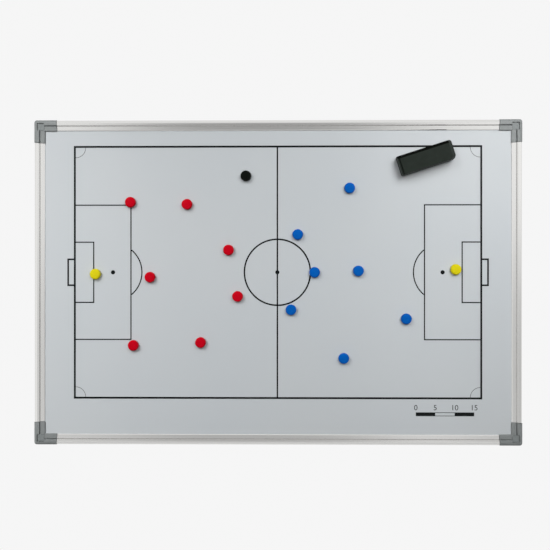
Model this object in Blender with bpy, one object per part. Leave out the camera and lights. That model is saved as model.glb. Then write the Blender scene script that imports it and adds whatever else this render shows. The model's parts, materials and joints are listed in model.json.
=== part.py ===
"""Magnetic tactics board for a wall: framed steel writing panel, capped magnets and an eraser.

Metres. X runs along the board, Z up, and the writing side faces -Y. The origin is the middle
of the wall plane. A depth is measured from the wall plane towards the writing side, and an
inset from the outer edge of the rails towards the middle of the board.
"""

import math

import bmesh
import bpy
from mathutils import Matrix

# Overall size, over the corner pieces
BOARD_WIDTH = 0.900
BOARD_HEIGHT = 0.600

# Clearances
FIT_GAP = 0.0003
GLUE_GAP = 0.0002
END_GAP = 0.0006

# Panel, from its back to its front
BACK_SHEET = 0.0003
CORE = 0.0090
STEEL_SHEET = 0.0004
BOSS_CLEARANCE = 0.0005

# Frame rail, one extruded section
RAIL_WIDTH = 0.0195
RAIL_WALL = 0.0014
BEAD_WIDTH = 0.0096
BEAD_ROUND_WIDTH = 0.0070
BEAD_ROUND_DEPTH = 0.0050
BEAD_RISE = 0.0014
BEAD_STEPS = 6
GROOVE_WIDTH = 0.0018
GROOVE_SHOULDER = 0.0003
GROOVE_DROP = 0.0010
LIP_WALL = 0.0016
LIP_CHAMFER_WIDTH = 0.0012
LIP_CHAMFER_DEPTH = 0.0008
CHANNEL_FLOOR = 0.0100
CHANNEL_BACK = 0.0043
BACK_LIP_WALL = 0.0014
CHAMBER_CHAMFER_WIDTH = 0.0012
CHAMBER_CHAMFER_DEPTH = 0.0020

# Corner piece
CORNER_ARM = 0.0430
CORNER_PROUD = 0.0008
CORNER_ROUND = 0.0050
CORNER_ROUND_STEPS = 6
CORNER_WALL = 0.0020
CORNER_RIB = 0.0012
END_WALL = 0.0025
END_LEAN = 0.0015
POCKET_DEPTH = 0.0135

# Leg of the corner piece, inside the rail
LEG_LENGTH = 0.0280
LEG_DEPTH = 0.0110
LEG_TAPER_LENGTH = 0.0040
LEG_TAPER = 0.0010
LEG_GROOVE = 0.0030
LEG_GROOVE_DEPTH = 0.0040

# Well for the wall screw, under the cover
WELL_INSET = 0.0125
WELL_RADIUS = 0.0050
WELL_WALL = 0.0018
WELL_FLOOR = 0.0030
WALL_SCREW_HOLE_RADIUS = 0.0034
WELL_SIDES = 18

# Snap-in cover over the well
COVER_SIDE = 0.0122
COVER_PRY_GAP = 0.0012
COVER_PLATE = 0.0012
COVER_CORNER_RADIUS = 0.0012
COVER_CORNER_STEPS = 2
COVER_SKIRT_WALL = 0.0010
COVER_SKIRT_LENGTH = 0.0045
COVER_SKIRT_CHAMFER = 0.0005
COVER_SLOT = 0.0016

# Countersunk screws that hold the corners
SCREW_FROM_RAIL_END = 0.0140
SCREW_SUNK = 0.0002
SCREW_HEAD_RADIUS = 0.0027
SCREW_HEAD_EDGE = 0.0002
SCREW_SHANK_RADIUS = 0.0014
SCREW_LENGTH = 0.0095
SCREW_TIP = 0.0015
SCREW_SIDES = 12

# Round magnets
MAGNET_RADIUS = 0.0100
MAGNET_HEIGHT = 0.0080
MAGNET_DRAFT = 0.0002
MAGNET_ROUND = 0.0026
MAGNET_ROUND_STEPS = 3
MAGNET_CROWN = 0.0004
MAGNET_WALL = 0.0012
DISC_THICKNESS = 0.0045
MAGNET_SIDES = 24
RED_PLACES = (
    (-0.2709, 0.1477),
    (-0.1665, 0.1438),
    (-0.0899, 0.0596),
    (-0.2347, 0.0095),
    (-0.0733, -0.0259),
    (-0.1415, -0.1108),
    (-0.2656, -0.1163),
)
BLUE_PLACES = (
    (0.1329, 0.1734),
    (0.0375, 0.0881),
    (0.1489, 0.0211),
    (0.0684, 0.0184),
    (0.0250, -0.0505),
    (0.2367, -0.0671),
    (0.1220, -0.1397),
)
YELLOW_PLACES = ((-0.3358, 0.0153), (0.3273, 0.0237))
BLACK_PLACES = ((-0.0579, 0.1960),)

# Eraser
ERASER_PLACE = (0.2717, 0.2273)
ERASER_TURN = math.radians(17.8)
ERASER_LENGTH = 0.105
ERASER_WIDTH = 0.037
ERASER_HEIGHT = 0.022
ERASER_TAIL_RADIUS = 0.0030
ERASER_NOSE_UPPER_RADIUS = 0.0050
ERASER_NOSE_LOWER_RADIUS = 0.0095
ERASER_LEAST_RADIUS = 0.0010
ERASER_CORNER_STEPS = 4
ERASER_WALL = 0.0020
ERASER_CEILING = 0.0020
ERASER_RIM = 0.0065
ERASER_RIM_BAND = 0.0025
GRIP_HEIGHT = 0.0050
GRIP_RUN = 0.0012
GRIP_DEPTH = 0.0014
TOP_IN = 0.0018
TOP_ROUND = 0.0012
NOSE_RUN = 0.0070
TOP_REBATE_WIDTH = 0.0038
TOP_REBATE_DEPTH = 0.0020
TAIL_STRIP = 0.0032
TAIL_GROOVE_WIDTH = 0.0018
FELT_THICKNESS = 0.0085
ERASER_MAGNET_LENGTH = 0.070
ERASER_MAGNET_WIDTH = 0.016
ERASER_MAGNET_THICKNESS = 0.004
HOUSING_RIB = 0.0015
HOUSING_RIB_COUNT = 3

# Values that follow from the ones above
PANEL_THICKNESS = BACK_SHEET + CORE + STEEL_SHEET + 2 * GLUE_GAP
PANEL_BACK = CHANNEL_BACK + FIT_GAP
PANEL_FRONT = PANEL_BACK + PANEL_THICKNESS
CHANNEL_FRONT = PANEL_FRONT + FIT_GAP
LIP_FRONT = CHANNEL_FRONT + LIP_WALL
BEAD_FRONT = LIP_FRONT + BEAD_RISE
HALF_WIDTH = BOARD_WIDTH / 2 - CORNER_PROUD
HALF_HEIGHT = BOARD_HEIGHT / 2 - CORNER_PROUD
PANEL_INSET = CHANNEL_FLOOR + FIT_GAP
ARM_END = CORNER_ARM - CORNER_PROUD
CHAMBER_MIDDLE = CHANNEL_FLOOR / 2
BOSS_RADIUS = WELL_RADIUS + WELL_WALL
COVER_FRONT = LIP_FRONT + CORNER_PROUD
RECESS_FLOOR = COVER_FRONT - COVER_PLATE - FIT_GAP
RECESS_SIDE = COVER_SIDE + 2 * FIT_GAP + COVER_PRY_GAP
RECESS_INSET = WELL_INSET - COVER_PRY_GAP / 2
SCREW_FROM_CORNER = ARM_END + END_GAP + SCREW_FROM_RAIL_END
ERASER_SHOULDER = ERASER_RIM + ERASER_RIM_BAND + GRIP_HEIGHT
ERASER_INWARD = GRIP_DEPTH + ERASER_WALL
OVERCUT = 0.004
MERGE = 1e-6
SHARP_EDGE = math.radians(35)


def make_material(name, colour, roughness, metallic=0.0):
    """Principled material with a base colour, a roughness and a metallic value."""
    material = bpy.data.materials.new(name)
    material.use_nodes = True
    material.diffuse_color = (*colour, 1.0)
    shader = material.node_tree.nodes["Principled BSDF"]
    shader.inputs["Base Color"].default_value = (*colour, 1.0)
    shader.inputs["Roughness"].default_value = roughness
    shader.inputs["Metallic"].default_value = metallic
    return material


def clear_scene():
    """Remove everything that the scene starts with."""
    for old in list(bpy.data.objects):
        bpy.data.objects.remove(old)


def add_object(name, mesh, material=None):
    """Link a mesh to the scene under a name."""
    piece = bpy.data.objects.new(name, mesh)
    bpy.context.scene.collection.objects.link(piece)
    if material and not mesh.materials:
        mesh.materials.append(material)
    return piece


def finish_mesh(shape, name):
    """Close a bmesh into a mesh whose faces point outwards."""
    bmesh.ops.recalc_face_normals(shape, faces=shape.faces)
    mesh = bpy.data.meshes.new(name)
    shape.to_mesh(mesh)
    shape.free()
    return mesh


def prism(outline, low, high, name="prism"):
    """Extrude an (x, z) outline between two depths."""
    shape = bmesh.new()
    corners = [shape.verts.new((x, -low, z)) for x, z in outline]
    face = shape.faces.new(corners)
    grown = bmesh.ops.extrude_face_region(shape, geom=[face])
    moved = [v for v in grown["geom"] if isinstance(v, bmesh.types.BMVert)]
    bmesh.ops.translate(shape, verts=moved, vec=(0, low - high, 0))
    return finish_mesh(shape, name)


def box_prism(x_span, z_span, low, high, name="box"):
    """Rectangular prism between two depths."""
    (x0, x1), (z0, z1) = x_span, z_span
    return prism([(x0, z0), (x1, z0), (x1, z1), (x0, z1)], low, high, name)


def turned(profile, sides, name="turned"):
    """Spin a (radius, depth) profile round the depth axis, and close its ends."""
    shape = bmesh.new()
    points = [shape.verts.new((radius, -depth, 0)) for radius, depth in profile]
    edges = [shape.edges.new(pair) for pair in zip(points, points[1:])]
    bmesh.ops.spin(
        shape,
        geom=points + edges,
        cent=(0, 0, 0),
        axis=(0, 1, 0),
        angle=math.tau,
        steps=sides,
        use_merge=True,
    )
    bmesh.ops.remove_doubles(shape, verts=shape.verts, dist=MERGE)
    open_edges = [edge for edge in shape.edges if edge.is_boundary]
    if open_edges:
        bmesh.ops.holes_fill(shape, edges=open_edges)
    return finish_mesh(shape, name)


def lofted(rings, name):
    """Extrude one closed ring of points through the others, and cap both ends."""
    shape = bmesh.new()
    number = shape.verts.layers.int.new("number")
    verts = [shape.verts.new(point) for point in rings[0]]
    for count, vert in enumerate(verts):
        vert[number] = count
    edges = [shape.edges.new(pair) for pair in zip(verts, verts[1:] + verts[:1])]
    for ring in rings[1:]:
        grown = bmesh.ops.extrude_edge_only(shape, edges=edges)["geom"]
        for vert in (item for item in grown if isinstance(item, bmesh.types.BMVert)):
            vert.co = ring[vert[number]]
        edges = [item for item in grown if isinstance(item, bmesh.types.BMEdge)]
        edges = [edge for edge in edges if edge.is_boundary]
    open_edges = [edge for edge in shape.edges if edge.is_boundary]
    bmesh.ops.holes_fill(shape, edges=open_edges)
    bmesh.ops.remove_doubles(shape, verts=shape.verts, dist=MERGE)
    return finish_mesh(shape, name)


def combined(base, others, operation, name):
    """Mesh of a Boolean between a base mesh and others, each given with its matrix."""
    body = add_object(name, base)
    helpers = []
    for mesh, matrix in others:
        helper = add_object(name + "_helper", mesh)
        helper.matrix_world = matrix
        helper.hide_render = True
        helper.display_type = "WIRE"
        step = body.modifiers.new("step", "BOOLEAN")
        step.operation = operation
        step.solver = "EXACT"
        step.object = helper
        helpers.append(helper)
    graph = bpy.context.evaluated_depsgraph_get()
    made = bpy.data.meshes.new_from_object(body.evaluated_get(graph))
    made.name = name
    for helper in helpers + [body]:
        bpy.data.objects.remove(helper)
    return made


def placed(x=0.0, z=0.0, turn=0.0, depth=0.0):
    """Matrix that turns in the plane of the board, then moves."""
    return Matrix.Translation((x, -depth, z)) @ Matrix.Rotation(turn, 4, "Y")


def arc(centre, radii, start, end, steps):
    """Points of an elliptical arc, angles in degrees."""
    points = []
    for index in range(steps + 1):
        angle = math.radians(start + (end - start) * index / steps)
        x = centre[0] + radii[0] * math.cos(angle)
        y = centre[1] + radii[1] * math.sin(angle)
        points.append((x, y))
    return points


def rounded_rectangle(length, width, radius, steps):
    """Outline of a rectangle with rounded corners, centred on the origin."""
    x = length / 2 - radius
    z = width / 2 - radius
    points = []
    for quarter, (sx, sz) in enumerate(((1, 1), (-1, 1), (-1, -1), (1, -1))):
        first = quarter * 90
        points += arc((sx * x, sz * z), (radius, radius), first, first + 90, steps)
    return points


def frame_section(proud=0.0):
    """Section of the frame as (inset, depth); proud swells all faces but the groove's floor."""
    bead = (BEAD_ROUND_WIDTH, BEAD_FRONT - BEAD_ROUND_DEPTH)
    radii = (BEAD_ROUND_WIDTH + proud, BEAD_ROUND_DEPTH + proud)
    groove_end = BEAD_WIDTH + GROOVE_WIDTH
    inner = RAIL_WIDTH + proud
    lip = LIP_FRONT + proud
    back_lip = CHANNEL_BACK - BACK_LIP_WALL
    return [
        (-proud, 0),
        *arc(bead, radii, 180, 90, BEAD_STEPS),
        (BEAD_WIDTH, BEAD_FRONT + proud),
        (BEAD_WIDTH, lip - GROOVE_SHOULDER),
        (BEAD_WIDTH + GROOVE_WIDTH / 2, LIP_FRONT - GROOVE_DROP),
        (groove_end, lip - GROOVE_SHOULDER),
        (groove_end, lip),
        (inner - LIP_CHAMFER_WIDTH, lip),
        (inner, lip - LIP_CHAMFER_DEPTH),
        (inner, CHANNEL_FRONT),
        (CHANNEL_FLOOR, CHANNEL_FRONT),
        (CHANNEL_FLOOR, CHANNEL_BACK),
        (inner, CHANNEL_BACK),
        (inner, back_lip),
        (CHANNEL_FLOOR, back_lip),
        (CHANNEL_FLOOR, 0),
    ]


def chamber_section():
    """Hollow of the rail as (inset, depth), one wall inside its outer faces."""
    bead = (BEAD_ROUND_WIDTH, BEAD_FRONT - BEAD_ROUND_DEPTH)
    radii = (BEAD_ROUND_WIDTH - RAIL_WALL, BEAD_ROUND_DEPTH - RAIL_WALL)
    inner = CHANNEL_FLOOR - RAIL_WALL
    ceiling = BEAD_FRONT - RAIL_WALL
    return [
        (RAIL_WALL, RAIL_WALL),
        *arc(bead, radii, 180, 90, BEAD_STEPS - 2),
        (inner - CHAMBER_CHAMFER_WIDTH, ceiling),
        (inner, ceiling - CHAMBER_CHAMFER_DEPTH),
        (inner, RAIL_WALL),
    ]


def lean_at(inset):
    """How far short of its inner edge the leaning end of an arm is at an inset."""
    return END_LEAN * (1 - inset / RAIL_WIDTH)


def bar_of_section(section, low_end, high_end, name):
    """Extrude an (inset, depth) section along X; each end is a function of the inset."""
    shape = bmesh.new()
    verts = [shape.verts.new((low_end(u), -v, u)) for u, v in section]
    face = shape.faces.new(verts)
    grown = bmesh.ops.extrude_face_region(shape, geom=[face])
    for vert in grown["geom"]:
        if isinstance(vert, bmesh.types.BMVert):
            vert.co.x = high_end(vert.co.z)
    return finish_mesh(shape, name)


def rail_mesh(name, half_board):
    """Rail of the bottom side: hollow section, cut to meet the corners, with screw holes."""
    half = half_board - ARM_END - END_GAP
    solid = bar_of_section(
        frame_section(),
        lambda inset: -half - lean_at(inset),
        lambda inset: half + lean_at(inset),
        name,
    )
    chamber = bar_of_section(
        chamber_section(),
        lambda inset: -half - END_LEAN - OVERCUT,
        lambda inset: half + END_LEAN + OVERCUT,
        "chamber",
    )
    seat = countersink_mesh()
    cuts = [(chamber, placed())]
    for side in (-1, 1):
        cuts.append((seat, placed(side * (half - SCREW_FROM_RAIL_END), CHAMBER_MIDDLE)))
    return combined(solid, cuts, "DIFFERENCE", name)


def countersink_mesh():
    """Cutter for a screw's clearance hole and its countersink."""
    wide = SCREW_HEAD_RADIUS + math.sqrt(2) * FIT_GAP
    narrow = SCREW_SHANK_RADIUS + FIT_GAP
    start = SCREW_SUNK + SCREW_HEAD_EDGE
    profile = [
        (0, -OVERCUT),
        (wide, -OVERCUT),
        (wide, start),
        (narrow, start + wide - narrow),
        (narrow, RAIL_WALL + OVERCUT),
        (0, RAIL_WALL + OVERCUT),
    ]
    return turned(profile, SCREW_SIDES, "countersink")


def screw_mesh():
    """Countersunk screw, its axis on the depth axis and its head at the wall side."""
    start = SCREW_SUNK + SCREW_HEAD_EDGE
    profile = [
        (0, SCREW_SUNK),
        (SCREW_HEAD_RADIUS, SCREW_SUNK),
        (SCREW_HEAD_RADIUS, start),
        (SCREW_SHANK_RADIUS, start + SCREW_HEAD_RADIUS - SCREW_SHANK_RADIUS),
        (SCREW_SHANK_RADIUS, SCREW_LENGTH - SCREW_TIP),
        (0, SCREW_LENGTH),
    ]
    return turned(profile, SCREW_SIDES, "screw")


def corner_sweep():
    """Carry the frame section round the corner, its arms leaning at their ends."""
    section = frame_section(CORNER_PROUD)
    centre = CORNER_ROUND - CORNER_PROUD
    rings = [[(ARM_END - lean_at(u), -v, u) for u, v in section]]
    for step in range(CORNER_ROUND_STEPS + 1):
        angle = math.pi / 2 * step / CORNER_ROUND_STEPS
        ring = []
        for u, v in section:
            radius = max(0.0, centre - u)
            x = max(centre, u) - radius * math.sin(angle)
            z = max(centre, u) - radius * math.cos(angle)
            ring.append((x, -v, z))
        rings.append(ring)
    rings.append([(u, -v, ARM_END - lean_at(u)) for u, v in section])
    return lofted(rings, "corner_sweep")


def corner_leg():
    """Tapered leg along X that slides into the rail, with two grooves across its front."""
    low = RAIL_WALL + FIT_GAP
    high = CHANNEL_FLOOR - RAIL_WALL - FIT_GAP
    root = ARM_END - END_WALL
    tip = ARM_END + LEG_LENGTH
    shoulder = tip - LEG_TAPER_LENGTH
    outline = [
        (root, low),
        (shoulder, low),
        (tip, low + LEG_TAPER),
        (tip, high - LEG_TAPER),
        (shoulder, high),
        (root, high),
    ]
    leg = prism(outline, low, low + LEG_DEPTH, "leg")
    top = low + LEG_DEPTH
    grooves = []
    for start in (ARM_END + LEG_GROOVE, SCREW_FROM_CORNER + LEG_GROOVE):
        span = (start, start + LEG_GROOVE)
        cut = box_prism(span, (low - OVERCUT, high + OVERCUT), top - LEG_GROOVE_DEPTH, top + OVERCUT)
        grooves.append((cut, placed()))
    radius = SCREW_SHANK_RADIUS + FIT_GAP
    bottom = SCREW_LENGTH + FIT_GAP
    pilot = turned(
        [(0, -OVERCUT), (radius, -OVERCUT), (radius, bottom), (0, bottom)], SCREW_SIDES, "pilot"
    )
    grooves.append((pilot, placed(SCREW_FROM_CORNER, CHAMBER_MIDDLE)))
    return combined(leg, grooves, "DIFFERENCE", "leg")


def corner_pocket():
    """Cutter for the hollow back of the corner, which keeps its boss and ribs."""
    outer = CORNER_WALL - CORNER_PROUD
    inner = CHANNEL_FLOOR - CORNER_WALL
    end = ARM_END - END_LEAN - END_WALL
    centre = CORNER_ROUND - CORNER_PROUD
    radius = CORNER_ROUND - CORNER_WALL
    outline = [
        *arc((centre, centre), (radius, radius), 180, 270, CORNER_ROUND_STEPS // 2),
        (end, outer),
        (end, inner),
        (inner, inner),
        (inner, end),
        (outer, end),
    ]
    pocket = prism(outline, -OVERCUT, POCKET_DEPTH, "pocket")
    kept = [(boss_mesh(BOSS_RADIUS, -2 * OVERCUT, BEAD_FRONT), placed(WELL_INSET, WELL_INSET))]
    low = outer - OVERCUT
    high = inner + OVERCUT
    for middle in ((WELL_INSET + BOSS_RADIUS), (WELL_INSET + BOSS_RADIUS + end) / 2):
        span = (middle, middle + CORNER_RIB)
        across = box_prism(span, (low, high), -2 * OVERCUT, BEAD_FRONT)
        along = box_prism((low, high), span, -2 * OVERCUT, BEAD_FRONT)
        kept += [(across, placed()), (along, placed())]
    return combined(pocket, kept, "DIFFERENCE", "pocket")


def boss_mesh(radius, low, high):
    """Plain round post between two depths."""
    profile = [(0, low), (radius, low), (radius, high), (0, high)]
    return turned(profile, WELL_SIDES, "boss")


def well_mesh():
    """Cutter for the well: a bore for the screw's head and a smaller hole to the wall."""
    profile = [
        (0, -OVERCUT),
        (WALL_SCREW_HOLE_RADIUS, -OVERCUT),
        (WALL_SCREW_HOLE_RADIUS, WELL_FLOOR),
        (WELL_RADIUS, WELL_FLOOR),
        (WELL_RADIUS, BEAD_FRONT + OVERCUT),
        (0, BEAD_FRONT + OVERCUT),
    ]
    return turned(profile, WELL_SIDES, "well")


def corner_mesh():
    """Corner piece of the bottom left, its arms along +X and +Z."""
    at_well = placed(WELL_INSET, WELL_INSET)
    quarter_turn = Matrix(((0, 0, 1, 0), (0, 1, 0, 0), (1, 0, 0, 0), (0, 0, 0, 1)))
    leg = corner_leg()
    upright_leg = leg.copy()
    upright_leg.transform(quarter_turn)
    upright_leg.flip_normals()
    boss = boss_mesh(BOSS_RADIUS, 0, RECESS_FLOOR + COVER_PLATE / 2)
    recess_outline = rounded_rectangle(
        RECESS_SIDE, RECESS_SIDE, COVER_CORNER_RADIUS + FIT_GAP, COVER_CORNER_STEPS
    )
    recess = prism(recess_outline, RECESS_FLOOR, BEAD_FRONT + OVERCUT, "recess")
    hollow = combined(corner_sweep(), [(corner_pocket(), placed())], "DIFFERENCE", "hollow")
    added = [(boss, at_well), (leg, placed()), (upright_leg, placed())]
    joined = combined(hollow, added, "UNION", "joined")
    cuts = [(recess, placed(RECESS_INSET, RECESS_INSET)), (well_mesh(), at_well)]
    return combined(joined, cuts, "DIFFERENCE", "corner")


def cover_mesh():
    """Snap-in cover: a square plate with a slotted round skirt behind it."""
    outline = rounded_rectangle(
        COVER_SIDE, COVER_SIDE, COVER_CORNER_RADIUS, COVER_CORNER_STEPS
    )
    plate_back = COVER_FRONT - COVER_PLATE
    plate = prism(outline, plate_back, COVER_FRONT, "cover")
    outer = WELL_RADIUS - FIT_GAP
    inner = outer - COVER_SKIRT_WALL
    end = plate_back - COVER_SKIRT_LENGTH
    root = plate_back + COVER_PLATE / 2
    profile = [
        (0, root),
        (outer, root),
        (outer, end + COVER_SKIRT_CHAMFER),
        (outer - COVER_SKIRT_CHAMFER, end),
        (inner, end),
        (inner, plate_back),
        (0, plate_back),
    ]
    skirt = turned(profile, WELL_SIDES, "skirt")
    slot = box_prism(
        (-WELL_RADIUS - OVERCUT, WELL_RADIUS + OVERCUT),
        (-COVER_SLOT / 2, COVER_SLOT / 2),
        end - OVERCUT,
        plate_back - FIT_GAP,
    )
    slotted = combined(skirt, [(slot, placed())], "DIFFERENCE", "skirt")
    return combined(plate, [(slotted, placed())], "UNION", "cover")


def panel_outline():
    """Outline of the panel, its corners cut off to clear the screw wells."""
    x = HALF_WIDTH - PANEL_INSET
    z = HALF_HEIGHT - PANEL_INSET
    reach = math.sqrt(2) * (BOSS_RADIUS + BOSS_CLEARANCE)
    cut = 2 * (WELL_INSET - PANEL_INSET) + reach
    points = []
    for sx, sz in ((1, 1), (-1, 1), (-1, -1), (1, -1)):
        pair = [(sx * x, sz * (z - cut)), (sx * (x - cut), sz * z)]
        points += pair if sx * sz > 0 else pair[::-1]
    return points


def magnet_cap_mesh():
    """Cap of a round magnet: rounded rim, slightly crowned face, open towards the board."""
    foot = PANEL_FRONT + FIT_GAP
    face = foot + MAGNET_HEIGHT - MAGNET_CROWN
    rim = (MAGNET_RADIUS - MAGNET_DRAFT - MAGNET_ROUND, face - MAGNET_ROUND)
    curve = arc(rim, (MAGNET_ROUND, MAGNET_ROUND), 0, 90, MAGNET_ROUND_STEPS)
    inner = MAGNET_RADIUS - MAGNET_WALL
    ceiling = foot + FIT_GAP + DISC_THICKNESS
    profile = [
        (0, ceiling),
        (inner, ceiling),
        (inner, foot),
        (MAGNET_RADIUS, foot),
        *curve,
        (0, foot + MAGNET_HEIGHT),
    ]
    return turned(profile, MAGNET_SIDES, "magnet_cap")


def magnet_disc_mesh():
    """Ferrite disc that fills the cap."""
    foot = PANEL_FRONT + FIT_GAP
    radius = MAGNET_RADIUS - MAGNET_WALL - FIT_GAP
    profile = [(0, foot), (radius, foot), (radius, foot + DISC_THICKNESS), (0, foot + DISC_THICKNESS)]
    return turned(profile, MAGNET_SIDES, "magnet_disc")


def nose_at(height):
    """How far the sloped nose of the eraser has drawn back at a height."""
    rise = max(0.0, height - ERASER_SHOULDER)
    return NOSE_RUN * rise / (ERASER_HEIGHT - ERASER_SHOULDER)


def eraser_ring(inward, height):
    """Ring of the eraser at a height, drawn in from its outline, with its four corners."""
    tail = -ERASER_LENGTH / 2 + inward
    nose = ERASER_LENGTH / 2 - inward - nose_at(height)
    side = ERASER_WIDTH / 2 - inward
    corners = (
        (nose, side, ERASER_NOSE_UPPER_RADIUS),
        (tail, side, ERASER_TAIL_RADIUS),
        (tail, -side, ERASER_TAIL_RADIUS),
        (nose, -side, ERASER_NOSE_LOWER_RADIUS),
    )
    ring = []
    for quarter, (x, z, outer_radius) in enumerate(corners):
        radius = max(outer_radius - inward, ERASER_LEAST_RADIUS)
        centre = (x - math.copysign(radius, x), z - math.copysign(radius, z))
        first = quarter * 90
        points = arc(centre, (radius, radius), first, first + 90, ERASER_CORNER_STEPS)
        ring += [(u, -PANEL_FRONT - height, v) for u, v in points]
    return ring


def eraser_housing_mesh():
    """Moulded housing: finger groove, sloped nose, rebate and groove in its top, open below."""
    band_top = ERASER_RIM + ERASER_RIM_BAND
    grip_low = band_top + GRIP_RUN
    grip_high = ERASER_SHOULDER - GRIP_RUN
    outer = lofted(
        [
            eraser_ring(0, ERASER_RIM),
            eraser_ring(0, band_top),
            eraser_ring(GRIP_DEPTH, grip_low),
            eraser_ring(GRIP_DEPTH, grip_high),
            eraser_ring(0, ERASER_SHOULDER),
            eraser_ring(TOP_IN - TOP_ROUND, ERASER_HEIGHT - TOP_ROUND),
            eraser_ring(TOP_IN, ERASER_HEIGHT),
        ],
        "eraser_housing",
    )
    ceiling = ERASER_HEIGHT - TOP_REBATE_DEPTH - ERASER_CEILING
    cavity = lofted(
        [
            eraser_ring(ERASER_INWARD, ERASER_RIM - OVERCUT),
            eraser_ring(ERASER_INWARD, ERASER_SHOULDER),
            eraser_ring(ERASER_INWARD, ceiling),
        ],
        "eraser_cavity",
    )
    cuts = [(mesh, placed()) for mesh in (cavity, *eraser_top_cuts())]
    shell = combined(outer, cuts, "DIFFERENCE", "eraser_housing")
    rib_foot = PANEL_FRONT + magnet_strip_top() + FIT_GAP
    ribs = []
    span_z = ERASER_WIDTH / 2 - ERASER_INWARD + ERASER_WALL / 2
    for index in range(HOUSING_RIB_COUNT):
        x = (index - (HOUSING_RIB_COUNT - 1) / 2) * ERASER_MAGNET_LENGTH / HOUSING_RIB_COUNT
        rib = box_prism(
            (x - HOUSING_RIB / 2, x + HOUSING_RIB / 2),
            (-span_z, span_z),
            rib_foot,
            PANEL_FRONT + ceiling + ERASER_CEILING / 2,
        )
        ribs.append((rib, placed()))
    return combined(shell, ribs, "UNION", "eraser_housing")


def eraser_top_cuts():
    """Cutters for the rebate along the upper edge of the top and the groove by its tail."""
    floor = PANEL_FRONT + ERASER_HEIGHT - TOP_REBATE_DEPTH
    top = PANEL_FRONT + ERASER_HEIGHT + OVERCUT
    reach_x = ERASER_LENGTH / 2 + OVERCUT
    reach_z = ERASER_WIDTH / 2 + OVERCUT
    inner = ERASER_WIDTH / 2 - TOP_IN - TOP_REBATE_WIDTH
    rebate = box_prism((-reach_x, reach_x), (inner, reach_z), floor, top)
    strip = TAIL_STRIP - ERASER_LENGTH / 2
    groove = box_prism((strip, strip + TAIL_GROOVE_WIDTH), (-reach_z, reach_z), floor, top)
    return rebate, groove


def felt_top():
    """Height of the felt pad's upper face above the writing sheet."""
    return FIT_GAP + FELT_THICKNESS


def magnet_strip_top():
    """Height of the magnet strip's upper face above the writing sheet."""
    return felt_top() + FIT_GAP + ERASER_MAGNET_THICKNESS


def felt_mesh():
    """Felt pad that the housing holds, standing out of its rim."""
    inward = ERASER_INWARD + FIT_GAP
    low = eraser_ring(inward, FIT_GAP)
    high = eraser_ring(inward, felt_top())
    return lofted([low, high], "eraser_felt")


def eraser_magnet_mesh():
    """Magnet strip between the felt and the housing's ribs."""
    half_length = ERASER_MAGNET_LENGTH / 2
    half_width = ERASER_MAGNET_WIDTH / 2
    low = PANEL_FRONT + felt_top() + FIT_GAP
    return box_prism(
        (-half_length, half_length),
        (-half_width, half_width),
        low,
        low + ERASER_MAGNET_THICKNESS,
        "eraser_magnet",
    )


def build_panel(materials):
    """Writing sheet, core and back sheet, bonded in that order from the front."""
    outline = panel_outline()
    layers = (
        ("back_sheet", BACK_SHEET, "zinc"),
        ("panel_core", CORE, "core"),
        ("writing_sheet", STEEL_SHEET, "sheet"),
    )
    depth = PANEL_BACK
    for name, thickness, material in layers:
        add_object(name, prism(outline, depth, depth + thickness, name), materials[material])
        depth += thickness + GLUE_GAP


def build_rails(materials):
    """Four rails of one section, in two lengths."""
    long_rail = rail_mesh("long_rail", HALF_WIDTH)
    short_rail = rail_mesh("short_rail", HALF_HEIGHT)
    places = (
        ("rail_bottom", long_rail, 0, -HALF_HEIGHT, 0),
        ("rail_top", long_rail, 0, HALF_HEIGHT, 180),
        ("rail_left", short_rail, -HALF_WIDTH, 0, 90),
        ("rail_right", short_rail, HALF_WIDTH, 0, -90),
    )
    for name, mesh, x, z, turn in places:
        rail = add_object(name, mesh, materials["aluminium"])
        rail.matrix_world = placed(x, z, math.radians(turn))


def build_corners(materials):
    """Corner pieces with their covers and screws, one mould turned to each corner."""
    corner = corner_mesh()
    cover = cover_mesh()
    screw = screw_mesh()
    places = (
        ("bottom_left", -1, -1, 0),
        ("top_left", -1, 1, 90),
        ("top_right", 1, 1, 180),
        ("bottom_right", 1, -1, -90),
    )
    for name, side, level, turn in places:
        place = placed(side * HALF_WIDTH, level * HALF_HEIGHT, math.radians(turn))
        piece = add_object("corner_" + name, corner, materials["corner"])
        piece.matrix_world = place
        lid = add_object("screw_cover_" + name, cover, materials["cover"])
        lid.matrix_world = place @ placed(WELL_INSET, WELL_INSET)
        screws = (("a", SCREW_FROM_CORNER, CHAMBER_MIDDLE), ("b", CHAMBER_MIDDLE, SCREW_FROM_CORNER))
        for letter, x, z in screws:
            fastener = add_object(f"screw_{name}_{letter}", screw, materials["screw"])
            fastener.matrix_world = place @ placed(x, z)


def build_magnets(materials):
    """Round magnets at their places on the sheet, each a cap and a disc."""
    disc = magnet_disc_mesh()
    groups = (
        ("red", RED_PLACES),
        ("blue", BLUE_PLACES),
        ("yellow", YELLOW_PLACES),
        ("black", BLACK_PLACES),
    )
    for colour, spots in groups:
        cap = magnet_cap_mesh()
        for number, (x, z) in enumerate(spots, start=1):
            shell = add_object(f"magnet_{colour}_{number}_cap", cap, materials[colour])
            shell.location = (x, 0, z)
            core = add_object(f"magnet_{colour}_{number}_disc", disc, materials["ferrite"])
            core.location = (x, 0, z)


def build_eraser(materials):
    """Eraser, turned as it hangs on the board."""
    x, z = ERASER_PLACE
    pieces = (
        ("eraser_housing", eraser_housing_mesh(), "eraser"),
        ("eraser_felt", felt_mesh(), "felt"),
        ("eraser_magnet", eraser_magnet_mesh(), "ferrite"),
    )
    for name, mesh, material in pieces:
        piece = add_object(name, mesh, materials[material])
        piece.matrix_world = placed(x, z, -ERASER_TURN)


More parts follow.
